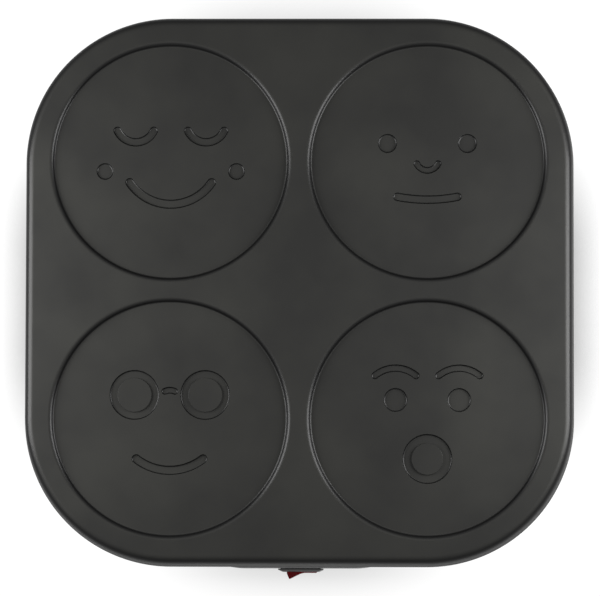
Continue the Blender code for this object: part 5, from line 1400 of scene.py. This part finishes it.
lamps = {
    # name: (place, length along the plate's side, height, watts)
    "leftBox": ((-0.26, 0.0, 0.18), 0.18, 0.16, 1.47),
    "rightBox": ((0.26, 0.0, 0.18), 0.18, 0.16, 1.56),
}


# 1 for what the camera sees, mirrored or through glass too, and 0 for the light on the pieces
def addSeen(tree):
    rays = addNode(tree, "LightPath")
    mirrored = addNode(
        tree, "Math", links={0: (rays, "Is Camera Ray"), 1: (rays, "Is Glossy Ray")}, operation="MAXIMUM"
    )
    return addNode(
        tree, "Math", links={0: (mirrored, "Value"), 1: (rays, "Is Transmission Ray")}, operation="MAXIMUM"
    )


# How much of the painted shadow shows at a point of the sheet, by where the point lies
def addShadeWeight(tree):
    place = addNode(tree, "TexCoord")
    across = addNode(tree, "SeparateXYZ", links={"Vector": (place, "Object")})
    sideways = addNode(tree, "Math", links={0: (across, "X")}, operation="ABSOLUTE")
    endways = addNode(tree, "Math", links={0: (across, "Y")}, operation="ABSOLUTE")
    along = addNode(
        tree, "Math", links={0: (sideways, "Value"), 1: (endways, "Value")}, operation="MINIMUM"
    )

    forwards = addNode(
        tree,
        "MapRange",
        {**studio["frontSpan"], "To Min": studio["frontShade"], "To Max": studio["frontEndShade"]},
        {"Value": (across, "Y")},
    )
    backwards = addNode(
        tree,
        "MapRange",
        {**studio["backSpan"], "To Max": studio["backShade"]},
        {"Value": (across, "Y"), "To Min": (forwards, "Result")},
    )
    beside = addNode(
        tree,
        "MapRange",
        {**studio["sideSpan"], "To Max": studio["sideShade"]},
        {"Value": (sideways, "Value"), "To Min": (backwards, "Result")},
    )
    depth = addNode(
        tree,
        "MapRange",
        {**studio["alongSpan"], "To Max": 0.0},
        {"Value": (along, "Value"), "To Min": (beside, "Result")},
        interpolation_type="SMOOTHSTEP",
    )
    # Under the housing the painted shadow is full: how far a point lies from the straight part of the
    # outline
    far = addNode(tree, "VectorMath", links={0: (place, "Object")}, operation="ABSOLUTE")
    corner = (studio["cornerMiddle"], studio["cornerMiddle"], 0)
    past = addNode(tree, "VectorMath", {1: corner}, {0: (far, "Vector")}, operation="SUBTRACT")
    outward = addNode(tree, "VectorMath", {1: (0, 0, 0)}, {0: (past, "Vector")}, operation="MAXIMUM")
    distance = addNode(tree, "VectorMath", links={0: (outward, "Vector")}, operation="LENGTH")
    under = addNode(
        tree,
        "MapRange",
        {**studio["underSpan"], "To Min": 1.0, "To Max": 0.0},
        {"Value": (distance, "Value")},
    )
    return addNode(tree, "Math", links={0: (depth, "Result"), 1: (under, "Result")}, operation="MAXIMUM")


def setSheet():
    pickNone()
    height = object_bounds()[0][2] - studio["sheetDrop"]
    bpy.ops.mesh.primitive_plane_add(size=studio["sheetSize"], location=(0, 0, height))
    sheet = bpy.context.object
    sheet.name = "whiteSheet"
    material = bpy.data.materials.new("whiteSheet")
    tree, output = newTree(material, "OutputMaterial")
    paper = addNode(tree, "BsdfDiffuse", {"Color": colour(studio["sheetColour"])})
    seen = addSeen(tree)
    reach = {"Distance": studio["shadeReach"]}
    openness = addNode(tree, "AmbientOcclusion", reach, samples=studio["shadeSamples"])
    # Painted shadow: the glow dims where the sheet is closed in, as much as the weight says
    shaded = addNode(
        tree,
        "Mix",
        {"A": 1.0},
        {"Factor": (addShadeWeight(tree), "Value"), "B": (openness, "AO")},
        data_type="FLOAT",
        clamp_factor=False,
    )
    strength = addNode(
        tree,
        "Math",
        links={0: (shaded, "Result"), 1: (seen, "Value")},
        operation="MULTIPLY",
        use_clamp=True,
    )
    glow = addNode(tree, "Emission", {"Color": (1, 1, 1, 1)}, {"Strength": (strength, "Value")})
    both = addNode(tree, "AddShader", links={0: (paper, "BSDF"), 1: (glow, "Emission")})
    tree.links.new(both.outputs["Shader"], output.inputs["Surface"])
    sheet.data.materials.append(material)


def setTent():
    world = bpy.data.worlds.new("softTent")
    bpy.context.scene.world = world
    tree, output = newTree(world, "OutputWorld")
    seen = addSeen(tree)
    level = addNode(
        tree, "MapRange", {"To Min": studio["worldLevel"], "To Max": 1.0}, {"Value": (seen, "Value")}
    )
    back = addNode(tree, "Background", {"Color": (1, 1, 1, 1)}, {"Strength": (level, "Result")})
    tree.links.new(back.outputs["Background"], output.inputs["Surface"])


def setLamps():
    for name, (place, length, height, watts) in lamps.items():
        data = bpy.data.lights.new(name, "AREA")
        data.shape = "RECTANGLE"
        data.size = length
        data.size_y = height
        data.energy = watts
        lamp = addObject(name, data)
        lamp.location = place
        aim = Vector((0, 0, studio["lampAim"])) - Vector(place)
        lamp.rotation_euler = aim.to_track_quat("-Z", "Y").to_euler()


bpy.context.scene.view_settings.view_transform = "Standard"
setSheet()
setTent()
setLamps()
print("studio set")
